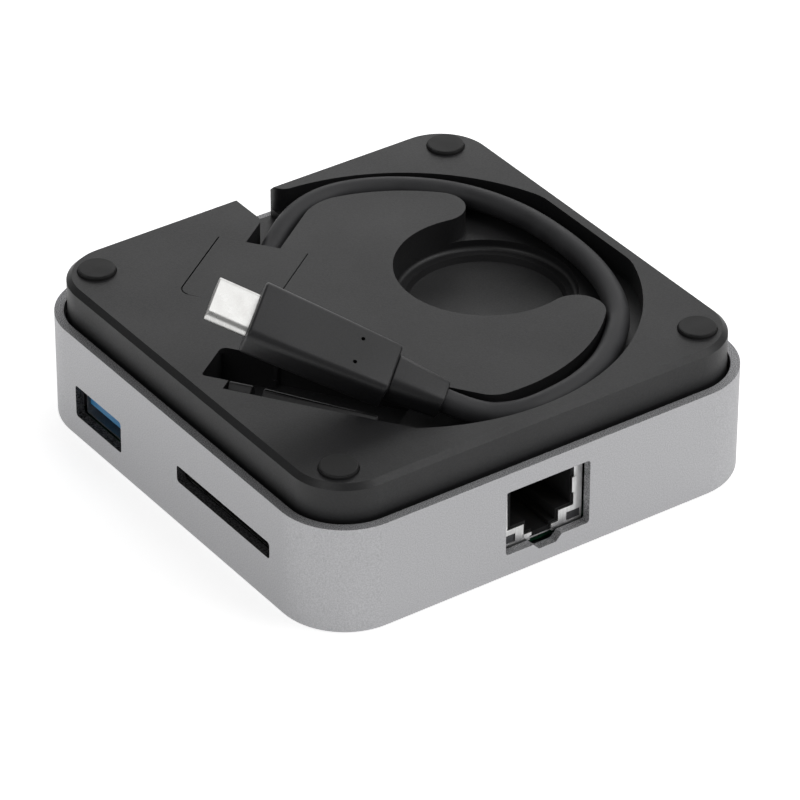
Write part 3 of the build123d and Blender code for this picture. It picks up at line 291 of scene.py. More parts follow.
@dataclass(frozen=True)
class SatinMetal(Finish):
    """Rolled, drawn or turned metal, plated or bare: bright satin with fine lines and dull places.

    Attributes:
        tarnish: sRGB hex colour of the dull places.
        line_mm: Spacing of the rolling lines, drawn coarser than they are so that they show.
        line_stretch: Scale of those lines along X, Y and Z.
        dull_mm: Width of a dull place.
        dull_share: Share of the dull places in the whole, 0 to 1.
    """

    tarnish: str = "9a9894"
    line_mm: float = 0.2
    line_stretch: Triple = (1.0, 1.0, 0.08)
    dull_mm: float = 2.5
    dull_share: float = 0.5
    sheen: Pair = (0.12, -0.05)
    relief: float = 0.15
    depth_mm: float = 0.01

    def pattern(self, tree: NodeTree, place: NodeSocket, shader: Node) -> None:
        """Adds rolling lines and dull places.

        Args:
            tree: The material's node tree.
            place: Object coordinates.
            shader: Principled shader that is fed.
        """
        rolled = add_node(tree, "ShaderNodeMapping", {"Scale": self.line_stretch}, {"Vector": place})
        lines = add_node(tree, "ShaderNodeTexNoise", {
            "Scale": 1 / (self.line_mm * MM),
            "Detail": 3.0,
        }, {"Vector": rolled.outputs["Vector"]})
        dull = add_node(tree, "ShaderNodeTexNoise", {
            "Scale": 1 / (self.dull_mm * MM),
            "Detail": 3.0,
        }, {"Vector": place})
        both = add_node(tree, "ShaderNodeMix", {"Factor": self.dull_share}, {
            "A": lines.outputs["Fac"],
            "B": dull.outputs["Fac"],
        })
        self.mottle(tree, both.outputs[0], shader, (self.tarnish, self.colour))
        self.roughen(tree, lines.outputs["Fac"], shader)


@dataclass(frozen=True)
class MouldedPlastic(Finish):
    """Plain injection-moulded plastic or resin, with a faint flow mottle and dust-fine pores.

    Attributes:
        flow: sRGB hex colour of the flow marks.
        flow_mm: Width of a flow mark.
        pore_mm: Width of a pore, drawn coarser than the real 0.05 mm so that it shows.
    """

    flow: str = "141414"
    flow_mm: float = 2.857
    pore_mm: float = 0.25
    sheen: Pair = (0.08, -0.06)
    relief: float = 0.12
    depth_mm: float = 0.01

    def pattern(self, tree: NodeTree, place: NodeSocket, shader: Node) -> None:
        """Adds flow marks and pores.

        Args:
            tree: The material's node tree.
            place: Object coordinates.
            shader: Principled shader that is fed.
        """
        flow = add_node(tree, "ShaderNodeTexNoise", {
            "Scale": 1 / (self.flow_mm * MM),
            "Detail": 3.0,
            "Distortion": 0.6,
        }, {"Vector": place})
        self.mottle(tree, flow.outputs["Fac"], shader, (self.colour, self.flow))
        pores = add_node(tree, "ShaderNodeTexVoronoi", {"Scale": 1 / (self.pore_mm * MM)}, {"Vector": place})
        self.roughen(tree, pores.outputs["Distance"], shader)


@dataclass(frozen=True)
class SolderMask(Finish):
    """Glass-fibre circuit board under lacquer: buried copper runs show as paler, slightly raised lines.

    Attributes:
        copper: sRGB hex colour of lacquer over copper.
        run_mm: Spacing of the copper runs.
        edge: Where the lacquer ends and where the copper starts, as shares of the spacing.
    """

    copper: str = "1d4a33"
    run_mm: float = 1.2
    edge: Pair = (0.55, 0.6)
    relief: float = 0.3
    depth_mm: float = 0.03

    def pattern(self, tree: NodeTree, place: NodeSocket, shader: Node) -> None:
        """Adds square-cornered copper runs.

        Args:
            tree: The material's node tree.
            place: Object coordinates.
            shader: Principled shader that is fed.
        """
        runs = add_node(tree, "ShaderNodeTexVoronoi", {
            "Scale": 1 / (self.run_mm * MM),
            "Randomness": 0.8,
        }, {"Vector": place}, distance="CHEBYCHEV", feature="F2")
        ramp = add_node(tree, "ShaderNodeValToRGB", links={"Fac": runs.outputs["Distance"]})
        for stop, position, colour in zip(ramp.color_ramp.elements, self.edge, (self.colour, self.copper)):
            stop.position = position
            stop.color = linear(colour)
        tree.links.new(ramp.outputs["Color"], shader.inputs["Base Color"])
        self.roughen(tree, ramp.outputs["Color"], shader)


@dataclass(frozen=True)
class SoftSkin(Finish):
    """Soft plastic or rubber, extruded or moulded: matt, with a faint powdery bloom and fine bumps.

    Attributes:
        bloom: sRGB hex colour of the powdery bloom.
        bloom_mm: Width of a patch of it.
        skin_mm: Width of the fine bumps, drawn coarser than they are so that they show.
    """

    bloom: str = "2e2e30"
    bloom_mm: float = 4.545
    skin_mm: float = 0.2857
    sheen: Pair = (-0.05, 0.06)
    relief: float = 0.25
    depth_mm: float = 0.02

    def pattern(self, tree: NodeTree, place: NodeSocket, shader: Node) -> None:
        """Adds bloom and the fine bumps.

        Args:
            tree: The material's node tree.
            place: Object coordinates.
            shader: Principled shader that is fed.
        """
        bloom = add_node(tree, "ShaderNodeTexNoise", {
            "Scale": 1 / (self.bloom_mm * MM),
            "Detail": 4.0,
        }, {"Vector": place})
        skin = add_node(tree, "ShaderNodeTexNoise", {
            "Scale": 1 / (self.skin_mm * MM),
            "Detail": 2.0,
        }, {"Vector": place})
        self.mottle(tree, bloom.outputs["Fac"], shader, (self.colour, self.bloom))
        self.roughen(tree, skin.outputs["Fac"], shader)


SHELL_ALUMINIUM = BlastedAluminium("bead-blasted anodised aluminium", "c2c2c4", 0.42, 1.0, dark="b2b2b4")
CUT_RIM = BlastedAluminium("machined rim of the shell", "e2e2e4", 0.75, 1.0, dark="7c7c7e",
                           pit_mm=0.16, line_share=0.0)
# Darker version of the cut finish: painted shade for the walls of openings that light doesn't reach.
SHADED_CUT_WALL = BlastedAluminium("milled wall of an opening darkened as painted shade", "6a6a6c", 0.8, 0.6, dark="232325",
                            pit_mm=0.3, line_share=0.0)
BASE_PLASTIC = GrainedPlastic("spark-grained black ABS", "1a1a1b", 0.42, worn="262627")
FOOT_RUBBER = SoftSkin("moulded foot rubber", "1b1b1b", 0.62, bloom="242424")
CORD_JACKET = SoftSkin("soft extruded cord jacket", "2c2c2e", 0.55, bloom="363638")
PLUG_PLASTIC = GrainedPlastic("grained overmoulded plug body", "1b1b1c", 0.42, worn="252527",
                              grain_mm=0.25, relief=0.35)
PLATED_STEEL = SatinMetal("nickel-plated socket sheet", "ececec", 0.34, 1.0, tarnish="cfcfce")
BRIGHT_STEEL = SatinMetal("drawn stainless plug tip", "e8e8e6", 0.3, 1.0, tarnish="dfdedc")
CONTACT_GOLD = SatinMetal("gold-flashed contact", "e0b45c", 0.25, 1.0, tarnish="b98c3f")
TURNED_BRASS = SatinMetal("turned brass pillar", "c9a55b", 0.3, 1.0, tarnish="98793d")
BLACK_STEEL = SatinMetal("black-plated screw steel", "55565a", 0.4, 1.0, tarnish="3a3b3e")
SOCKET_BLACK = MouldedPlastic("black socket nylon", "050506", 0.9, flow="08080a")
CHIP_RESIN = MouldedPlastic("moulded chip resin", "1b1b1c", 0.6, flow="232324")
WHITE_NYLON = MouldedPlastic("white connector nylon", "d8d4c6", 0.5, flow="e2dfd4")
# Lighter than the plastic's own blue: painted light for the tongues, which lie in shade inside their sockets.
LIGHTENED_BLUE_PLASTIC = MouldedPlastic("blue socket plastic lightened as painted light", "3f9ad8", 0.35, flow="4aa6e2")
LAMP_PLASTIC = MouldedPlastic("smoked light guide", "38393b", 0.25, flow="4c4d50")
PAD_SILICONE = MouldedPlastic("heat-conducting silicone", "8d9aa6", 0.7, flow="99a5b0")
CAN_ALUMINIUM = SatinMetal("drawn capacitor can", "c4c4c4", 0.35, 1.0)
BOARD_LACQUER = SolderMask("lacquered circuit board", "0f3a26", 0.3)

NODE_FINISHES = {
    "aluminium_shell": SHELL_ALUMINIUM,
    "base_cover": BASE_PLASTIC,
    "cable_cover": BASE_PLASTIC,
    "foot_by_card_slot": FOOT_RUBBER,
    "foot_by_network_socket": FOOT_RUBBER,
    "foot_by_video_socket": FOOT_RUBBER,
    "foot_by_usb_socket": FOOT_RUBBER,
    "base_screws": BLACK_STEEL,
    "board_screws": BLACK_STEEL,
    "riser_screws": BLACK_STEEL,
    "main_board": BOARD_LACQUER,
    "riser_board": BOARD_LACQUER,
    "riser_pillars": TURNED_BRASS,
    "riser_link": SOCKET_BLACK,
    "hub_chip": CHIP_RESIN,
    "network_chip": CHIP_RESIN,
    "power_chip": CHIP_RESIN,
    "video_chip": CHIP_RESIN,
    "network_transformer": SOCKET_BLACK,
    "power_inductor": CHIP_RESIN,
    "lead_connector": WHITE_NYLON,
    "capacitors": CAN_ALUMINIUM,
    "thermal_pad": PAD_SILICONE,
    "network_shield": PLATED_STEEL,
    "network_housing": SOCKET_BLACK,
    "network_contacts": CONTACT_GOLD,
    "network_lamps": LAMP_PLASTIC,
    "side_usb_shell": PLATED_STEEL,
    "side_usb_tongue": LIGHTENED_BLUE_PLASTIC,
    "side_usb_contacts": CONTACT_GOLD,
    "rear_usb_shell": PLATED_STEEL,
    "rear_usb_tongue": LIGHTENED_BLUE_PLASTIC,
    "rear_usb_contacts": CONTACT_GOLD,
    "card_housing": SOCKET_BLACK,
    "card_cover": PLATED_STEEL,
    "card_contacts": CONTACT_GOLD,
    "video_shell": PLATED_STEEL,
    "video_tongue": SOCKET_BLACK,
    "power_shell": PLATED_STEEL,
    "power_tongue": SOCKET_BLACK,
    "cord_grommet": CORD_JACKET,
    "inner_leads": CORD_JACKET,
    "cord": CORD_JACKET,
    "plug_relief": PLUG_PLASTIC,
    "plug_body": PLUG_PLASTIC,
    "plug_shell": BRIGHT_STEEL,
    "plug_insert": SOCKET_BLACK,
}


# ---------------------------------------------------------------- modelling by hand
# A CAD node's corners nearer than this are merged, in millimetres, and its faces that meet at less than
# this angle are joined, in degrees.
MERGE_MM = 0.002
FLAT_ANGLE = 0.5

# Facets across an eased edge: plain, and where it shows well.
PLAIN_FACETS = 2
FINE_FACETS = 3


class Part(Enum):
    """Kinds of mesh element that can be picked."""

    VERTEX = "VERT"
    EDGE = "EDGE"
    FACE = "FACE"


class Join(Enum):
    """What is done with a second shape: it is added to the first or taken away from it."""

    ADD = "UNION"
    TAKE = "DIFFERENCE"


def deselect_all() -> None:
    """Leaves object mode with nothing selected."""
    if bpy.context.object and bpy.context.object.mode != "OBJECT":
        bpy.ops.object.mode_set(mode="OBJECT")
    bpy.ops.object.select_all(action="DESELECT")


def make_active(obj: Object) -> None:
    """Selects one object alone and makes it active.

    Args:
        obj: Object.
    """
    deselect_all()
    obj.select_set(True)
    bpy.context.view_layer.objects.active = obj


def pick(obj: Object, part: Part, test: Callable[[object], bool]) -> int:
    """Selects mesh elements of the active object in edit mode.

    Args:
        obj: Object in edit mode.
        part: Kind of element.
        test: Says whether an element is wanted.

    Returns:
        How many were selected.
    """
    bpy.ops.mesh.select_mode(type=part.value)
    bpy.ops.mesh.select_all(action="DESELECT")
    mesh = bmesh.from_edit_mesh(obj.data)
    elements = {Part.VERTEX: mesh.verts, Part.EDGE: mesh.edges, Part.FACE: mesh.faces}[part]
    count = 0
    for element in elements:
        if test(element):
            element.select_set(True)
            count += 1
    mesh.select_flush_mode()
    bmesh.update_edit_mesh(obj.data)
    return count


def apply_modifier(obj: Object, kind: str, **settings: object) -> None:
    """Adds a modifier with its settings and applies it.

    Args:
        obj: Object.
        kind: Blender's name for the kind of modifier.
        **settings: The modifier's own properties.
    """
    make_active(obj)
    modifier = obj.modifiers.new(kind.title(), kind)
    for name, value in settings.items():
        setattr(modifier, name, value)
    bpy.ops.object.modifier_apply(modifier=modifier.name)


def join(obj: Object, other: Object, how: Join) -> None:
    """Adds another shape to an object or takes it away, and clears the other shape up.

    Args:
        obj: Object that is kept.
        other: The other shape.
        how: What is done.
    """
    apply_modifier(obj, "BOOLEAN", operation=how.value, object=other, solver="EXACT")
    bpy.data.objects.remove(other)


def settle(obj: Object) -> None:
    """Puts an object's place into its mesh, so that it stands unturned at the origin."""
    make_active(obj)
    bpy.ops.object.transform_apply(location=True, rotation=True, scale=True)


def finish_piece(obj: Object, name: str, finish: Finish, replaced: str) -> None:
    """Names, dresses and fastens a finished piece.

    Args:
        obj: The piece, settled.
        name: Its name.
        finish: Its finish.
        replaced: CAD node that it stands for.
    """
    obj.name = name
    obj.data.name = name
    obj.data.materials.clear()
    obj.data.materials.append(finish.material())
    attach(obj, BODY)
    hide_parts(replaced)
    log.info("%s: %d vertices", name, len(obj.data.vertices))


def loose_copy(node: str) -> Object:
    """Copies a CAD node's mesh, with its flat faces joined up, to be reshaped by hand.

    Args:
        node: The node's name.

    Returns:
        The copy.
    """
    copy = bpy.data.objects.new(f"{node}_copy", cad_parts[node].data.copy())
    bpy.context.scene.collection.objects.link(copy)
    make_active(copy)
    bpy.ops.object.mode_set(mode="EDIT")
    bpy.ops.mesh.select_all(action="SELECT")
    bpy.ops.mesh.remove_doubles(threshold=MERGE_MM * MM)
    bpy.ops.mesh.dissolve_limited(angle_limit=radians(FLAT_ANGLE))
    bpy.ops.object.mode_set(mode="OBJECT")
    return copy


def ease_edges(obj: Object, ease_mm: float, facets: int = PLAIN_FACETS, angle: float = 35.0,
               crisp: Callable[[Vector], bool] = lambda place: False) -> Object:
    """Eases an object's sharp edges, as a moulding's or casting's are, and shades it smooth.

    Args:
        obj: Object.
        ease_mm: Width of the eased edge.
        facets: Facets across it.
        angle: Edges sharper than this are eased, in degrees.
        crisp: Says whether an edge with its middle at this place, in metres, stays crisp.

    Returns:
        The same object.
    """
    make_active(obj)
    bpy.ops.object.shade_smooth_by_angle(angle=radians(angle))
    weights = obj.data.attributes.new("bevel_weight_edge", "FLOAT", "EDGE")
    mesh = bmesh.new()
    mesh.from_mesh(obj.data)
    eased = [
        edge.is_manifold and edge.calc_face_angle(0.0) > radians(angle)
        and not crisp((edge.verts[0].co + edge.verts[1].co) / 2)
        for edge in mesh.edges
    ]
    mesh.free()
    for place, wanted in enumerate(eased):
        weights.data[place].value = 1.0 if wanted else 0.0
    apply_modifier(obj, "BEVEL", width=ease_mm * MM, segments=facets, limit_method="WEIGHT",
                   use_clamp_overlap=True, miter_outer="MITER_ARC", harden_normals=True)
    apply_modifier(obj, "WEIGHTED_NORMAL", keep_sharp=True)
    return obj


def eased_copy(node: str, ease_mm: float, facets: int = PLAIN_FACETS) -> Object:
    """Copies a CAD node's mesh with its sharp edges eased."""
    return ease_edges(loose_copy(node), ease_mm, facets)


# ---------------------------------------------------------------- camera, light and floor
@dataclass(frozen=True)
class Lamp:
    """Soft rectangular lamp.

    Attributes:
        name: What it is called in the studio.
        place: Where it hangs, in metres.
        size: Its width and height, in metres.
        power: In watts.
    """

    name: str
    place: Triple
    size: Pair
    power: float

    def hang(self, target: Vector) -> None:
        """Adds the lamp, turned to the place that it lights.

        Args:
            target: That place, in metres.
        """
        data = bpy.data.lights.new(self.name, "AREA")
        data.shape = "RECTANGLE"
        data.size, data.size_y = self.size
        data.energy = self.power
        lamp = bpy.data.objects.new(self.name, data)
        bpy.context.scene.collection.objects.link(lamp)
        lamp.location = self.place
        lamp.rotation_euler = (Vector(self.place) - target).to_track_quat("Z", "Y").to_euler()


@dataclass
class Studio:
    """Camera, pale floor and plain soft light.

    Attributes:
        azimuth: Camera's azimuth, in degrees.
        elevation: Its height above the horizon, in degrees.
        roll: Its roll, in degrees.
        distance: From the target, in metres.
        target: Point it looks at, in metres.
        lens: Focal length, in millimetres.
        sensor: Width of the sensor, in millimetres.
        nearest: Distance from which it sees things, in metres.
        floor_size: Side of the floor, in metres.
        floor_gap: Room left under the dock so that the two faces don't meet, in metres.
        floor_colour: sRGB hex colour of its paper.
        floor_glow: Light that the floor gives off towards the camera.
        mirrored_glow: The same towards the dock's reflecting surfaces.
        even_light: Strength of the tent's even light.
        lamps: The lamps in the tent.
    """

    azimuth: float = -35.05
    elevation: float = 33.48
    roll: float = 0.14
    distance: float = 0.8885
    target: Triple = (0.0082, 0.0101, -0.0016)
    lens: float = 236.3
    sensor: float = 36.0
    nearest: float = 0.01
    floor_size: float = 6.0
    floor_gap: float = 0.00002
    floor_colour: str = "f4f4f4"
    floor_glow: float = 0.7
    mirrored_glow: float = 0.43
    even_light: float = 0.2
    lamps: tuple[Lamp, ...] = (
        Lamp("back panel", (0.26, 0.37, 0.2), (0.54, 0.28), 0.5),
        Lamp("overhead softbox", (0.62, -0.16, 1.0), (1.2, 1.2), 4.4),
        Lamp("left fill", (-0.75, -0.25, 0.75), (0.5, 0.5), 1.0),
        Lamp("front fill", (0.50, -0.62, 0.66), (0.5, 0.5), 1.4),
    )

    def place_camera(self) -> None:
        """Adds the camera and makes it the scene's."""
        data = bpy.data.cameras.new("camera")
        data.lens = self.lens
        data.sensor_width = self.sensor
        data.clip_start = self.nearest
        camera = bpy.data.objects.new("camera", data)
        bpy.context.scene.collection.objects.link(camera)
        turn = (
            Matrix.Rotation(radians(self.azimuth), 4, "Z")
            @ Matrix.Rotation(pi / 2 - radians(self.elevation), 4, "X")
            @ Matrix.Rotation(radians(self.roll), 4, "Z")
        )
        away = turn.to_3x3() @ Vector((0, 0, self.distance))
        camera.matrix_world = Matrix.Translation(Vector(self.target) + away) @ turn
        bpy.context.scene.camera = camera

    def lay_floor(self) -> None:
        """Adds a wide pale floor that meets the white background and keeps the soft shadow."""
        deselect_all()
        bpy.ops.mesh.primitive_plane_add(size=self.floor_size, location=(0, 0, -self.floor_gap))
        floor = bpy.context.object
        floor.name = "floor"
        paper = bpy.data.materials.new("matt white paper")
        paper.use_nodes = True
        tree = paper.node_tree
        tree.nodes.clear()
        path = add_node(tree, "ShaderNodeLightPath")
        matt = add_node(tree, "ShaderNodeBsdfDiffuse", {"Color": linear(self.floor_colour)})
        mirrored = add_node(tree, "ShaderNodeMath", {1: self.mirrored_glow}, {
            0: path.outputs["Is Glossy Ray"],
        }, operation="MULTIPLY")
        strength = add_node(tree, "ShaderNodeMath", {1: self.floor_glow}, {
            0: path.outputs["Is Camera Ray"],
            2: mirrored.outputs[0],
        }, operation="MULTIPLY_ADD")
        glow = add_node(tree, "ShaderNodeEmission", {"Color": linear("ffffff")}, {
            "Strength": strength.outputs[0],
        })
        lit = add_node(tree, "ShaderNodeAddShader", links={0: matt.outputs[0], 1: glow.outputs[0]})
        add_node(tree, "ShaderNodeOutputMaterial", links={"Surface": lit.outputs[0]})
        floor.data.materials.append(paper)

    def light(self) -> None:
        """Adds the world's even light and the soft lamps."""
        world = bpy.data.worlds.new("white tent")
        bpy.context.scene.world = world
        world.use_nodes = True
        tree = world.node_tree
        tree.nodes.clear()
        path = add_node(tree, "ShaderNodeLightPath")
        even = add_node(tree, "ShaderNodeBackground", {
            "Color": linear("ffffff"),
            "Strength": self.even_light,
        })
        white = add_node(tree, "ShaderNodeBackground", {"Color": linear("ffffff"), "Strength": 1.0})
        seen = add_node(tree, "ShaderNodeMixShader", links={
            0: path.outputs["Is Camera Ray"],
            1: even.outputs[0],
            2: white.outputs[0],
        })
        add_node(tree, "ShaderNodeOutputWorld", links={"Surface": seen.outputs[0]})
        for lamp in self.lamps:
            lamp.hang(Vector(self.target))

    def colour_management(self) -> None:
        """Shows colours as they are written."""
        bpy.context.scene.view_settings.view_transform = "Standard"


# ---------------------------------------------------------------- cord and plug
@dataclass
class PlugFrame:
    """Where the plug stands. Its origin is the cord's end, Z points to its tip and X across its width.

    Attributes:
        origin: Cord's end, in millimetres.
        heading: Degrees from +X to the way the plug points back along its cord.
        pitch: Degrees nose up.
        roll: Degrees, near side down.
    """

    origin: Triple = (-10.73, -28.80, 26.70)
    heading: float = -43.3
    pitch: float = 23.0
    roll: float = 20.4

    def matrix(self) -> Matrix:
        """Works out the plug's frame.

        Returns:
            It as a 4x4 matrix, in metres.
        """
        heading, pitch, roll = radians(self.heading), radians(self.pitch), radians(self.roll)
        nose = Vector((-cos(heading) * cos(pitch), -sin(heading) * cos(pitch), sin(pitch)))
        level = Vector((-sin(heading), cos(heading), 0.0))
        upward = nose.cross(level)
        if upward.z < 0:
            upward = -upward
        across = level * cos(roll) + upward * sin(roll)
        thick = nose.cross(across)
        turn = Matrix((across, thick, nose)).transposed().to_4x4()
        return Matrix.Translation(Vector(self.origin) * MM) @ turn


@dataclass
class StowedCord:
    """The captive cord, lying in its groove and rising out of it into the plug.

    Attributes:
        diameter: In millimetres.
        length: Along its middle line, in millimetres. Not used.
        route: Control points of its middle line, from the grommet to the plug, in millimetres.
        order: How many control points bend each place of it.
        steps: Steps from one control point to the next.
        roundness: How finely its round section is drawn, in Blender's measure.
    """

    diameter: float = 4.0
    length: float = 146.0
    route: tuple[Triple, ...] = (
        (-12.967, 23.064, 22.85),
        (-7.30, 27.10, 22.87),
        (0.20, 32.60, 24.70),
        (7.20, 35.50, 25.10),
        (14.40, 35.20, 25.10),
        (22.80, 31.00, 25.10),
        (30.10, 23.60, 25.00),
        (34.60, 13.00, 24.90),
        (35.60, 1.50, 24.90),
        (34.50, -10.50, 24.90),
        (29.80, -22.40, 24.90),
        (20.90, -31.10, 24.95),
        (12.20, -35.60, 25.00),
        (3.15, -36.75, 24.80),
        (-1.95, -35.60, 24.30),
        (-6.82, -32.49, 24.42),
        (-10.73, -28.80, 26.70),
    )
    order: int = 3
    steps: int = 14
    roundness: int = 8

    def build(self) -> Object:
        """Makes the cord as one smooth NURBS curve drawn by its route's control points.

        Returns:
            The cord.
        """
        curve = bpy.data.curves.new("cord_jacket", "CURVE")
        curve.dimensions = "3D"
        spline = curve.splines.new("NURBS")
        spline.points.add(len(self.route) - 1)
        for point, place in zip(spline.points, self.route):
            point.co = (place[0] * MM, place[1] * MM, place[2] * MM, 1.0)
        spline.order_u = self.order
        spline.use_endpoint_u = True
        spline.resolution_u = self.steps
        curve.bevel_depth = self.diameter / 2 * MM
        curve.bevel_resolution = self.roundness
        curve.use_fill_caps = True
        cord = bpy.data.objects.new("cord_jacket", curve)
        bpy.context.scene.collection.objects.link(cord)
        curve.materials.append(CORD_JACKET.material())
        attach(cord, BODY)
        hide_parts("cord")
        log.info("%s: %d control points", cord.name, len(self.route))
        return cord


@dataclass(frozen=True)
class TaperedBar:
    """Bar along the plug's axis, with rounded long edges, whose width and thickness change along it.

    Attributes:
        start: Its first end along that axis, in millimetres.
        stations: Distance from start, width and thickness, in order along it.
        corner: Radius of the long edges.
        rim: Rounding of the rims of its two ends.
        corner_facets: Facets across a long edge.
        rim_facets: Facets across a rim.
    """

    start: float
    stations: tuple[Triple, ...]
    corner: float
    rim: float
    corner_facets: int = 8
    rim_facets: int = 4

    def model(self) -> Object:
        """Models the bar from a cube: rounded, cut at its stations and drawn to their sizes.

        Returns:
            The bar in the plug's own frame.
        """
        length, full_width, full_thick = self.stations[-1]
        deselect_all()
        bpy.ops.mesh.primitive_cube_add(size=1.0)
        bar = bpy.context.object
        bar.scale = (full_width * MM, full_thick * MM, length * MM)
        bar.location = (0, 0, (self.start + length / 2) * MM)
        settle(bar)
        bpy.ops.object.mode_set(mode="EDIT")
        pick(bar, Part.EDGE, lambda edge: abs(edge.verts[0].co.z - edge.verts[1].co.z) > length * MM / 2)
        bpy.ops.mesh.bevel(offset=self.corner * MM, segments=self.corner_facets, profile=0.5, affect="EDGES")
        for place, _, _ in self.stations[1:-1]:
            bpy.ops.mesh.select_all(action="SELECT")
            bpy.ops.mesh.bisect(plane_co=(0, 0, (self.start + place) * MM), plane_no=(0, 0, 1))
        for place, width, thick in self.stations[:-1]:
            height = (self.start + place) * MM
            pick(bar, Part.VERTEX, lambda vertex: abs(vertex.co.z - height) < SAME_PLACE)
            bpy.ops.transform.resize(
                value=(width / full_width, thick / full_thick, 1.0), center_override=(0, 0, height))
        bpy.ops.object.mode_set(mode="OBJECT")
        self.round_rims(bar)
        return bar

    def round_rims(self, bar: Object) -> None:
        """Rounds the rims of the bar's two ends.

        Args:
            bar: The bar in the plug's own frame.
        """
        make_active(bar)
        bpy.ops.object.mode_set(mode="EDIT")
        heights = [vertex.co.z for vertex in bar.data.vertices]
        ends = (min(heights), max(heights))
        pick(bar, Part.EDGE, lambda edge: any(
            all(abs(vertex.co.z - end) < SAME_PLACE for vertex in edge.verts) for end in ends))
        bpy.ops.mesh.bevel(offset=self.rim * MM, segments=self.rim_facets, profile=0.5, affect="EDGES")
        bpy.ops.object.mode_set(mode="OBJECT")


RELIEF_LENGTH = 9.2


@dataclass
class Plug:
    """Moulded plug: strain relief, body with two small vents, and a drawn metal tip.

    Attributes:
        relief: The strain relief, next to the cord.
        body: The moulded body.
        seam: Gap between the cord's end and the relief, in millimetres.
        smooth_angle: Edges sharper than this show, in degrees.
        tip_ease: Width of the metal tip's eased edges.
        vent_radius: Radius of a vent.
        vent_spacing: Between the two.
        vent_place: From the body's neck end.
        vent_middle: Middle of the hole from the plug's axis.
        vent_length: Length of the drill.
        vent_facets: Facets round a vent.
    """

    relief: TaperedBar = TaperedBar(0.0, (
        (0.0, 5.8, 5.4),
        (4.0, 6.6, 5.65),
        (RELIEF_LENGTH, 7.6, 5.9),
    ), corner=2.3, rim=0.3)
    body: TaperedBar = TaperedBar(RELIEF_LENGTH, (
        (0.0, 10.0, 6.4),
        (8.0, 10.7, 6.35),
        (16.0, 11.3, 6.25),
        (24.0, 11.8, 6.2),
    ), corner=1.6, rim=0.45)
    seam: float = 0.02
    smooth_angle: float = 45.0
    tip_ease: float = 0.12
    vent_radius: float = 0.35
    vent_spacing: float = 4.75
    vent_place: float = 6.5
    vent_middle: float = 2.9
    vent_length: float = 2.0
    vent_facets: int = 20

    def stand(self, bar: Object) -> None:
        """Turns a bar from the plug's own frame into the dock's, and shades it.

        Args:
            bar: The bar in the plug's own frame.
        """
        bar.matrix_world = PlugFrame().matrix() @ Matrix.Translation((0, 0, self.seam * MM))
        settle(bar)
        bpy.ops.object.shade_smooth_by_angle(angle=radians(self.smooth_angle))

    def drill_vents(self, body: Object) -> None:
        """Drills the two small vents in the body's upper face.

        Args:
            body: The moulded body, in the plug's own frame.
        """
        upper = 1.0 if (PlugFrame().matrix().to_3x3() @ Vector((0, 1, 0))).z > 0 else -1.0
        height = (self.body.start + self.vent_place) * MM
        for side in (-1, 1):
            deselect_all()
            bpy.ops.mesh.primitive_cylinder_add(
                vertices=self.vent_facets, radius=self.vent_radius * MM, depth=self.vent_length * MM,
                location=(side * self.vent_spacing / 2 * MM, upper * self.vent_middle * MM, height),
                rotation=(pi / 2, 0, 0))
            drill = bpy.context.object
            settle(drill)
            join(body, drill, Join.TAKE)

    def build(self) -> list[Object]:
        """Builds the relief and body, and dresses the metal tip.

        Returns:
            The plug's pieces.
        """
        relief = self.relief.model()
        self.stand(relief)
        finish_piece(relief, "plug_strain_relief", PLUG_PLASTIC, "plug_relief")
        body = self.body.model()
        self.drill_vents(body)
        self.stand(body)
        finish_piece(body, "plug_moulded_body", PLUG_PLASTIC, "plug_body")
        tip = eased_copy("plug_shell", self.tip_ease, FINE_FACETS)
        finish_piece(tip, "plug_metal_tip", BRIGHT_STEEL, "plug_shell")
        return [relief, body, tip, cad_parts["plug_insert"]]


# ---------------------------------------------------------------- case
def off_line(place: Vector, origin: Pair, turn: float) -> Pair:
    """Measures a place from a line in plan.

    Args:
        place: In metres.
        origin: Plan place where the line starts, in millimetres.
        turn: Degrees from +X to the way that it runs.

    Returns:
        Distance along the line and to its left, in millimetres.
    """
    x, y = place.x / MM - origin[0], place.y / MM - origin[1]
    angle = radians(turn)
    return (x * cos(angle) + y * sin(angle), -x * sin(angle) + y * cos(angle))


@dataclass(frozen=True)
class ClipRoom:
    """Room about the clip, all in millimetres.

    Attributes:
        along: Least and greatest distance along the pocket's outer wall.
        inside: The same inside that wall.
        height: The same above the dock's underside.
    """

    along: Pair
    inside: Pair
    height: Pair

    def holds(self, place: Triple) -> bool:
        """Whether a place, given along, inside and up, lies in it."""
        ranges = (self.along, self.inside, self.height)
        return all(low < value < high for value, (low, high) in zip(place, ranges))


@dataclass(frozen=True)
class ClipMove(ClipRoom):
    """Shift of the clip's vertices that lie in a room.

    Attributes:
        shift: Distance moved along, inside and up.
    """

    shift: Triple


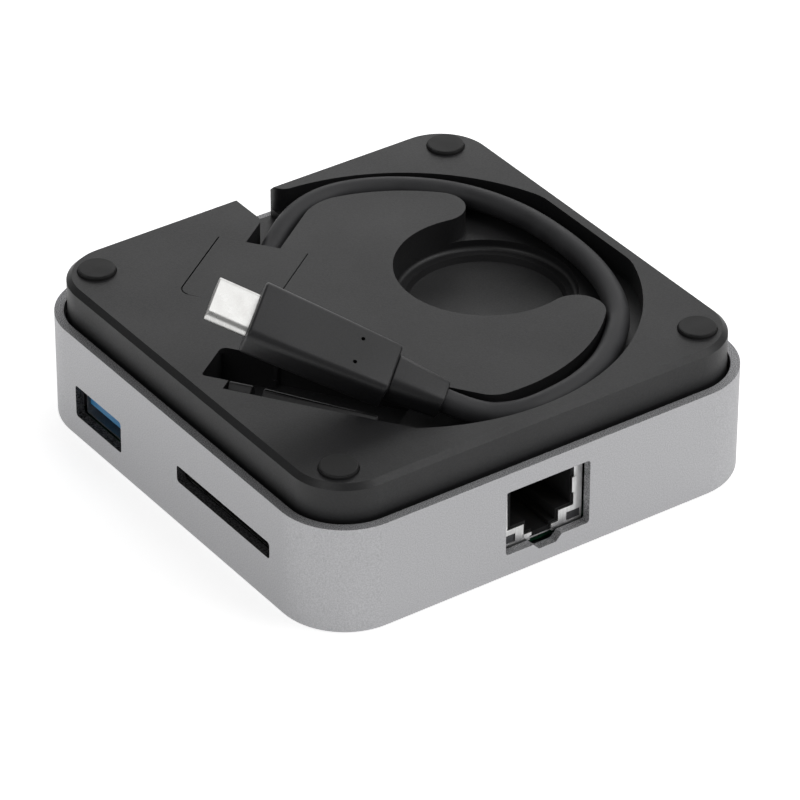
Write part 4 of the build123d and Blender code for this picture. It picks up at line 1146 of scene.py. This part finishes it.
CLIP_OUTLINE = ClipRoom((-4.6, 21.6), (0.2, 3.5), (25.6, 26.7))
HOOK_SPAN = (-4.6, -0.3)
WALL_HEIGHTS = (20.0, 27.0)
CLIP_MOVES = (
    # The hook's end and both ends of the rail are moved along the wall.
    ClipMove((-1.6, -1.5), (1.2, 3.4), WALL_HEIGHTS, (1.2, 0.0, 0.0)),
    ClipMove((-0.6, -0.4), (0.7, 2.7), WALL_HEIGHTS, (2.1, 0.0, 0.0)),
    ClipMove((18.9, 19.1), (0.7, 2.7), WALL_HEIGHTS, (2.4, 0.0, 0.0)),
    # The rail is made wider at its near end and thin at its far one.
    ClipMove((1.5, 1.7), (2.0, 2.7), WALL_HEIGHTS, (0.0, 0.5, 0.0)),
    ClipMove((21.3, 21.5), (1.9, 2.3), (26.6, 26.7), (0.0, -0.75, 0.0)),
    ClipMove((21.3, 21.5), (2.5, 2.7), (20.0, 26.6), (0.0, -1.05, 0.0)),
    # The slopes on top of the rail's near end and of the hook are made broader.
    ClipMove((1.5, 1.7), (0.7, 0.9), (26.1, 26.2), (0.0, 0.0, -0.4)),
    ClipMove((1.5, 1.7), (1.2, 1.4), (26.6, 26.7), (0.0, 0.5, 0.0)),
    ClipMove(HOOK_SPAN, (1.3, 1.5), (26.1, 26.2), (0.0, 0.0, -0.4)),
    ClipMove(HOOK_SPAN, (1.8, 2.0), (26.6, 26.7), (0.0, 0.35, 0.0)),
)


class Wall(Enum):
    """The shell's walls whose openings show, by the number of the axis that they face along."""

    LEFT = 0
    FRONT = 1


FEET = ("foot_by_card_slot", "foot_by_network_socket", "foot_by_video_socket", "foot_by_usb_socket")


@dataclass
class Case:
    """Metal shell, base cover, cable cover and feet, with their edges eased. Sizes are in millimetres.

    Attributes:
        pocket: Plan place of the plug pocket's outer corner.
        pocket_turn: Degrees from +X to the way its outer wall runs.
        clip_round: Width of the clip's rounded edges.
        cover: Plan place of the middle of the cable cover's bridging edge.
        cover_turn: Degrees from +X to the way the cord leaves it.
        cover_length: Along its axis.
        cover_gap: How far each of its ends is brought up to the base.
        cover_end: Distance within which a vertex lies on one of its ends.
        seam_height: Height above which its end seams show.
        seam_width: Distance within which a place lies on a seam.
        seam_half_lengths: Half the length of the seams at its bridging edge and at its other end.
        shell_ease: Width of the shell's eased edges.
        base_ease: The same for the base.
        cover_ease: The same for the cable cover.
        foot_ease: The same for the feet.
        rim_height: Height above which an upward face is the shell's machined rim.
        opening_heights: Heights between which the shell has its openings.
        opening_span: Places along a wall between which it has them.
        outer_wall: Place on X or Y beyond which a face lies in a wall.
        tilt: Share of its normal at which a face counts as turned that way.
    """

    pocket: Pair = (-35.2, -9.9)
    pocket_turn: float = -55.0
    clip_round: float = 0.22
    cover: Pair = (-8.5, 26.25)
    cover_turn: float = 35.5
    cover_length: float = 18.3
    cover_gap: float = 0.14
    cover_end: float = 0.05
    seam_height: float = 25.0
    seam_width: float = 0.3
    seam_half_lengths: Pair = (8.3, 5.2)
    shell_ease: float = 0.18
    base_ease: float = 0.2
    cover_ease: float = 0.12
    foot_ease: float = 0.25
    rim_height: float = 19.5
    opening_heights: Pair = (3.0, 17.0)
    opening_span: Pair = (-29.0, 30.5)
    outer_wall: float = -41.0
    tilt: float = 0.3

    def in_pocket(self, place: Vector) -> Triple:
        """Distance along the pocket's outer wall, inside it and above the underside, in millimetres."""
        return (*off_line(place, self.pocket, self.pocket_turn), place.z / MM)

    def by_cover(self, place: Vector) -> Pair:
        """Distance along the cable cover's axis from its bridging edge, and off that axis, in millimetres."""
        return off_line(place, self.cover, self.cover_turn)

    def closed_seam(self, place: Vector) -> bool:
        """Tells the tight seams at the cable cover's two ends, which hardly show.

        Args:
            place: In metres.

        Returns:
            Whether the place lies on one of them.
        """
        along, off = self.by_cover(place)
        bridge, far_end = self.seam_half_lengths
        if place.z < self.seam_height * MM or abs(off) > bridge:
            return False
        at_far_end = abs(along + self.cover_length) < self.seam_width
        return abs(along) < self.seam_width or (at_far_end and abs(off) < far_end)

    def on_clip(self, place: Vector) -> bool:
        """Whether a place lies on the upper outline of the clip's hook or rail."""
        return CLIP_OUTLINE.holds(self.in_pocket(place))

    def shape_clip(self, base: Object) -> None:
        """Lengthens the clip's hook, draws its rail out to a thin end and rounds both.

        Args:
            base: The base cover's mesh.
        """
        turn = radians(self.pocket_turn)
        way = Vector((cos(turn), sin(turn), 0.0))
        inward = Vector((-sin(turn), cos(turn), 0.0))
        make_active(base)
        bpy.ops.object.mode_set(mode="EDIT")
        for move in CLIP_MOVES:
            found = pick(base, Part.VERTEX, lambda vertex: move.holds(self.in_pocket(vertex.co)))
            log.info("clip: %d vertices moved", found)
            along, inside, up = move.shift
            bpy.ops.transform.translate(value=(way * along + inward * inside + Vector((0.0, 0.0, up))) * MM)
        found = pick(base, Part.EDGE, lambda edge: all(self.on_clip(vertex.co) for vertex in edge.verts))
        log.info("clip: %d edges rounded", found)
        bpy.ops.mesh.bevel(offset=self.clip_round * MM, segments=FINE_FACETS, affect="EDGES")
        bpy.ops.object.mode_set(mode="OBJECT")

    def close_ends(self, cover: Object) -> None:
        """Brings the cable cover's two ends up to the base round them.

        Args:
            cover: The cable cover's mesh.
        """
        turn = radians(self.cover_turn)
        way = Vector((cos(turn), sin(turn), 0.0))
        make_active(cover)
        bpy.ops.object.mode_set(mode="EDIT")
        for end, gap in ((0.0, self.cover_gap), (-self.cover_length, -self.cover_gap)):
            pick(cover, Part.VERTEX, lambda vertex: abs(self.by_cover(vertex.co)[0] - end) < self.cover_end)
            bpy.ops.transform.translate(value=way * gap * MM)
        bpy.ops.object.mode_set(mode="OBJECT")

    def in_opening(self, face: bmesh.types.BMFace, wall: Wall) -> bool:
        """Tells the inner faces of an opening from the shell's other faces.

        Args:
            face: Face of the shell.
            wall: The wall that has the opening.

        Returns:
            Whether the face lies inside one of its openings.
        """
        place = face.calc_center_median() / MM
        across, along = wall.value, 1 - wall.value
        low, high = self.opening_heights
        start, end = self.opening_span
        in_wall = place[across] < self.outer_wall and abs(face.normal[across]) < self.tilt
        return in_wall and low < place.z < high and start < place[along] < end

    def on_rim(self, face: bmesh.types.BMFace) -> bool:
        """Whether a face belongs to the shell's machined rim."""
        return face.normal.z > self.tilt and face.calc_center_median().z > self.rim_height * MM

    def dress_cuts(self, shell: Object) -> None:
        """Gives the shell's machined rim and the insides of its front openings their coarser finish, and the
        insides of the left side's openings a darker version of it as painted shade.

        Args:
            shell: The shell, dressed in its main finish.
        """
        bright_cut, painted_shade_cut = 1, 2
        for finish in (CUT_RIM, SHADED_CUT_WALL):
            shell.data.materials.append(finish.material())
        make_active(shell)
        bpy.ops.object.mode_set(mode="EDIT")
        # The front's opening is wide enough for light to reach its walls, and the left side's are not, so the
        # left side's walls get the darker version as painted shade.
        for finish_index, test in (
            (bright_cut, self.on_rim),
            (bright_cut, lambda face: self.in_opening(face, Wall.FRONT)),
            (painted_shade_cut, lambda face: self.in_opening(face, Wall.LEFT)),
        ):
            log.info("shell: %d cut faces", pick(shell, Part.FACE, test))
            shell.active_material_index = finish_index
            bpy.ops.object.material_slot_assign()
        bpy.ops.object.mode_set(mode="OBJECT")

    def build(self) -> None:
        """Reshapes the clip and the cable cover, and eases the edges of the visible case pieces."""
        shell = eased_copy("aluminium_shell", self.shell_ease)
        finish_piece(shell, "shell_with_eased_edges", SHELL_ALUMINIUM, "aluminium_shell")
        self.dress_cuts(shell)
        base = loose_copy("base_cover")
        self.shape_clip(base)
        ease_edges(base, self.base_ease, FINE_FACETS, crisp=self.closed_seam)
        finish_piece(base, "base_with_eased_edges", BASE_PLASTIC, "base_cover")
        cover = loose_copy("cable_cover")
        self.close_ends(cover)
        ease_edges(cover, self.cover_ease, crisp=self.closed_seam)
        finish_piece(cover, "cable_cover_plate", BASE_PLASTIC, "cable_cover")
        for node in FEET:
            foot = eased_copy(node, self.foot_ease, FINE_FACETS)
            finish_piece(foot, f"{node}_pad", FOOT_RUBBER, node)


# ---------------------------------------------------------------- fronts of the two sockets that show
@dataclass
class SocketFronts:
    """Sheet-metal front of the network socket and nose of the side USB socket's tongue.

    Sizes are in millimetres. The cuts and tabs are boxes, each given by two corners measured across, behind
    and above the middle of the network socket's mouth. The nose's corners are places on the dock, save that
    their Y is measured from the middle of the side USB socket.

    Attributes:
        network: Middle of the network socket's mouth in X and Z.
        front: Y of its sheet-metal front.
        cuts: Ways cut for the latch, and beside the mouth.
        tabs: Grounding tabs, beside the mouth and on both sides of the latch.
        usb: Y of the middle of the side USB socket.
        nose: The tongue's nose.
        sheet_ease: Width of the sheet's eased edges.
        tongue_ease: Width of the tongue's.
    """

    network: Pair = (-0.7, 10.4)
    front: float = -42.1
    cuts: tuple[Box, ...] = (
        ((-2.2, -0.5, -7.0), (2.2, 0.33, -4.8)),
        ((-7.0, -0.5, -2.9), (-6.4, 0.29, 4.8)),
    )
    tabs: tuple[Box, ...] = (
        ((6.0, -0.2, -0.3), (6.8, 0.2, 2.6)),
        ((1.95, -0.15, -5.5), (3.5, 0.2, -4.85)),
        ((-3.5, -0.15, -5.5), (-1.95, 0.2, -4.85)),
    )
    usb: float = 22.4
    nose: Box = ((-42.0, -5.5, 7.0), (-40.5, 5.5, 9.7))
    sheet_ease: float = 0.05
    tongue_ease: float = 0.1

    def join_box(self, obj: Object, corners: Box, middle: Triple, how: Join) -> None:
        """Adds a box to a piece or takes it away.

        Args:
            obj: The piece.
            corners: The box's two corners, from the middle.
            middle: Place that they are measured from.
            how: What is done.
        """
        low, high = ([start + step for start, step in zip(middle, corner)] for corner in corners)
        bpy.ops.mesh.primitive_cube_add(
            size=1.0, location=[(a + b) / 2 * MM for a, b in zip(low, high)],
            scale=[(b - a) * MM for a, b in zip(low, high)])
        box = bpy.context.object
        settle(box)
        join(obj, box, how)

    def build(self) -> None:
        """Opens the latch's way, adds the sheet's grounding tabs and gives the tongue its nose."""
        mouth = (self.network[0], self.front, self.network[1])
        sheet = loose_copy("network_shield")
        for cut in self.cuts:
            self.join_box(sheet, cut, mouth, Join.TAKE)
        for tab in self.tabs:
            self.join_box(sheet, tab, mouth, Join.ADD)
        ease_edges(sheet, self.sheet_ease)
        finish_piece(sheet, "network_socket_sheet", PLATED_STEEL, "network_shield")
        tongue = loose_copy("side_usb_tongue")
        self.join_box(tongue, self.nose, (0.0, self.usb, 0.0), Join.ADD)
        ease_edges(tongue, self.tongue_ease)
        finish_piece(tongue, "side_usb_tongue_with_nose", LIGHTENED_BLUE_PLASTIC, "side_usb_tongue")


def dress_nodes() -> None:
    """Gives every CAD node its finish."""
    for name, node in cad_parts.items():
        finish = NODE_FINISHES[name]
        node.data.materials.clear()
        node.data.materials.append(finish.material())
        log.info("%s: %s", name, finish.name)


# ---------------------------------------------------------------- the whole
def main() -> None:
    """Builds the camera, cord, plug, case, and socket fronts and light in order."""
    studio = Studio()
    studio.place_camera()
    stowed = StowedCord()
    cord = stowed.build()
    dress_nodes()
    carried = Plug().build()
    Case().build()
    SocketFronts().build()
    studio.lay_floor()
    studio.light()
    studio.colour_management()
    deselect_all()


if __name__ == "__main__":
    main()
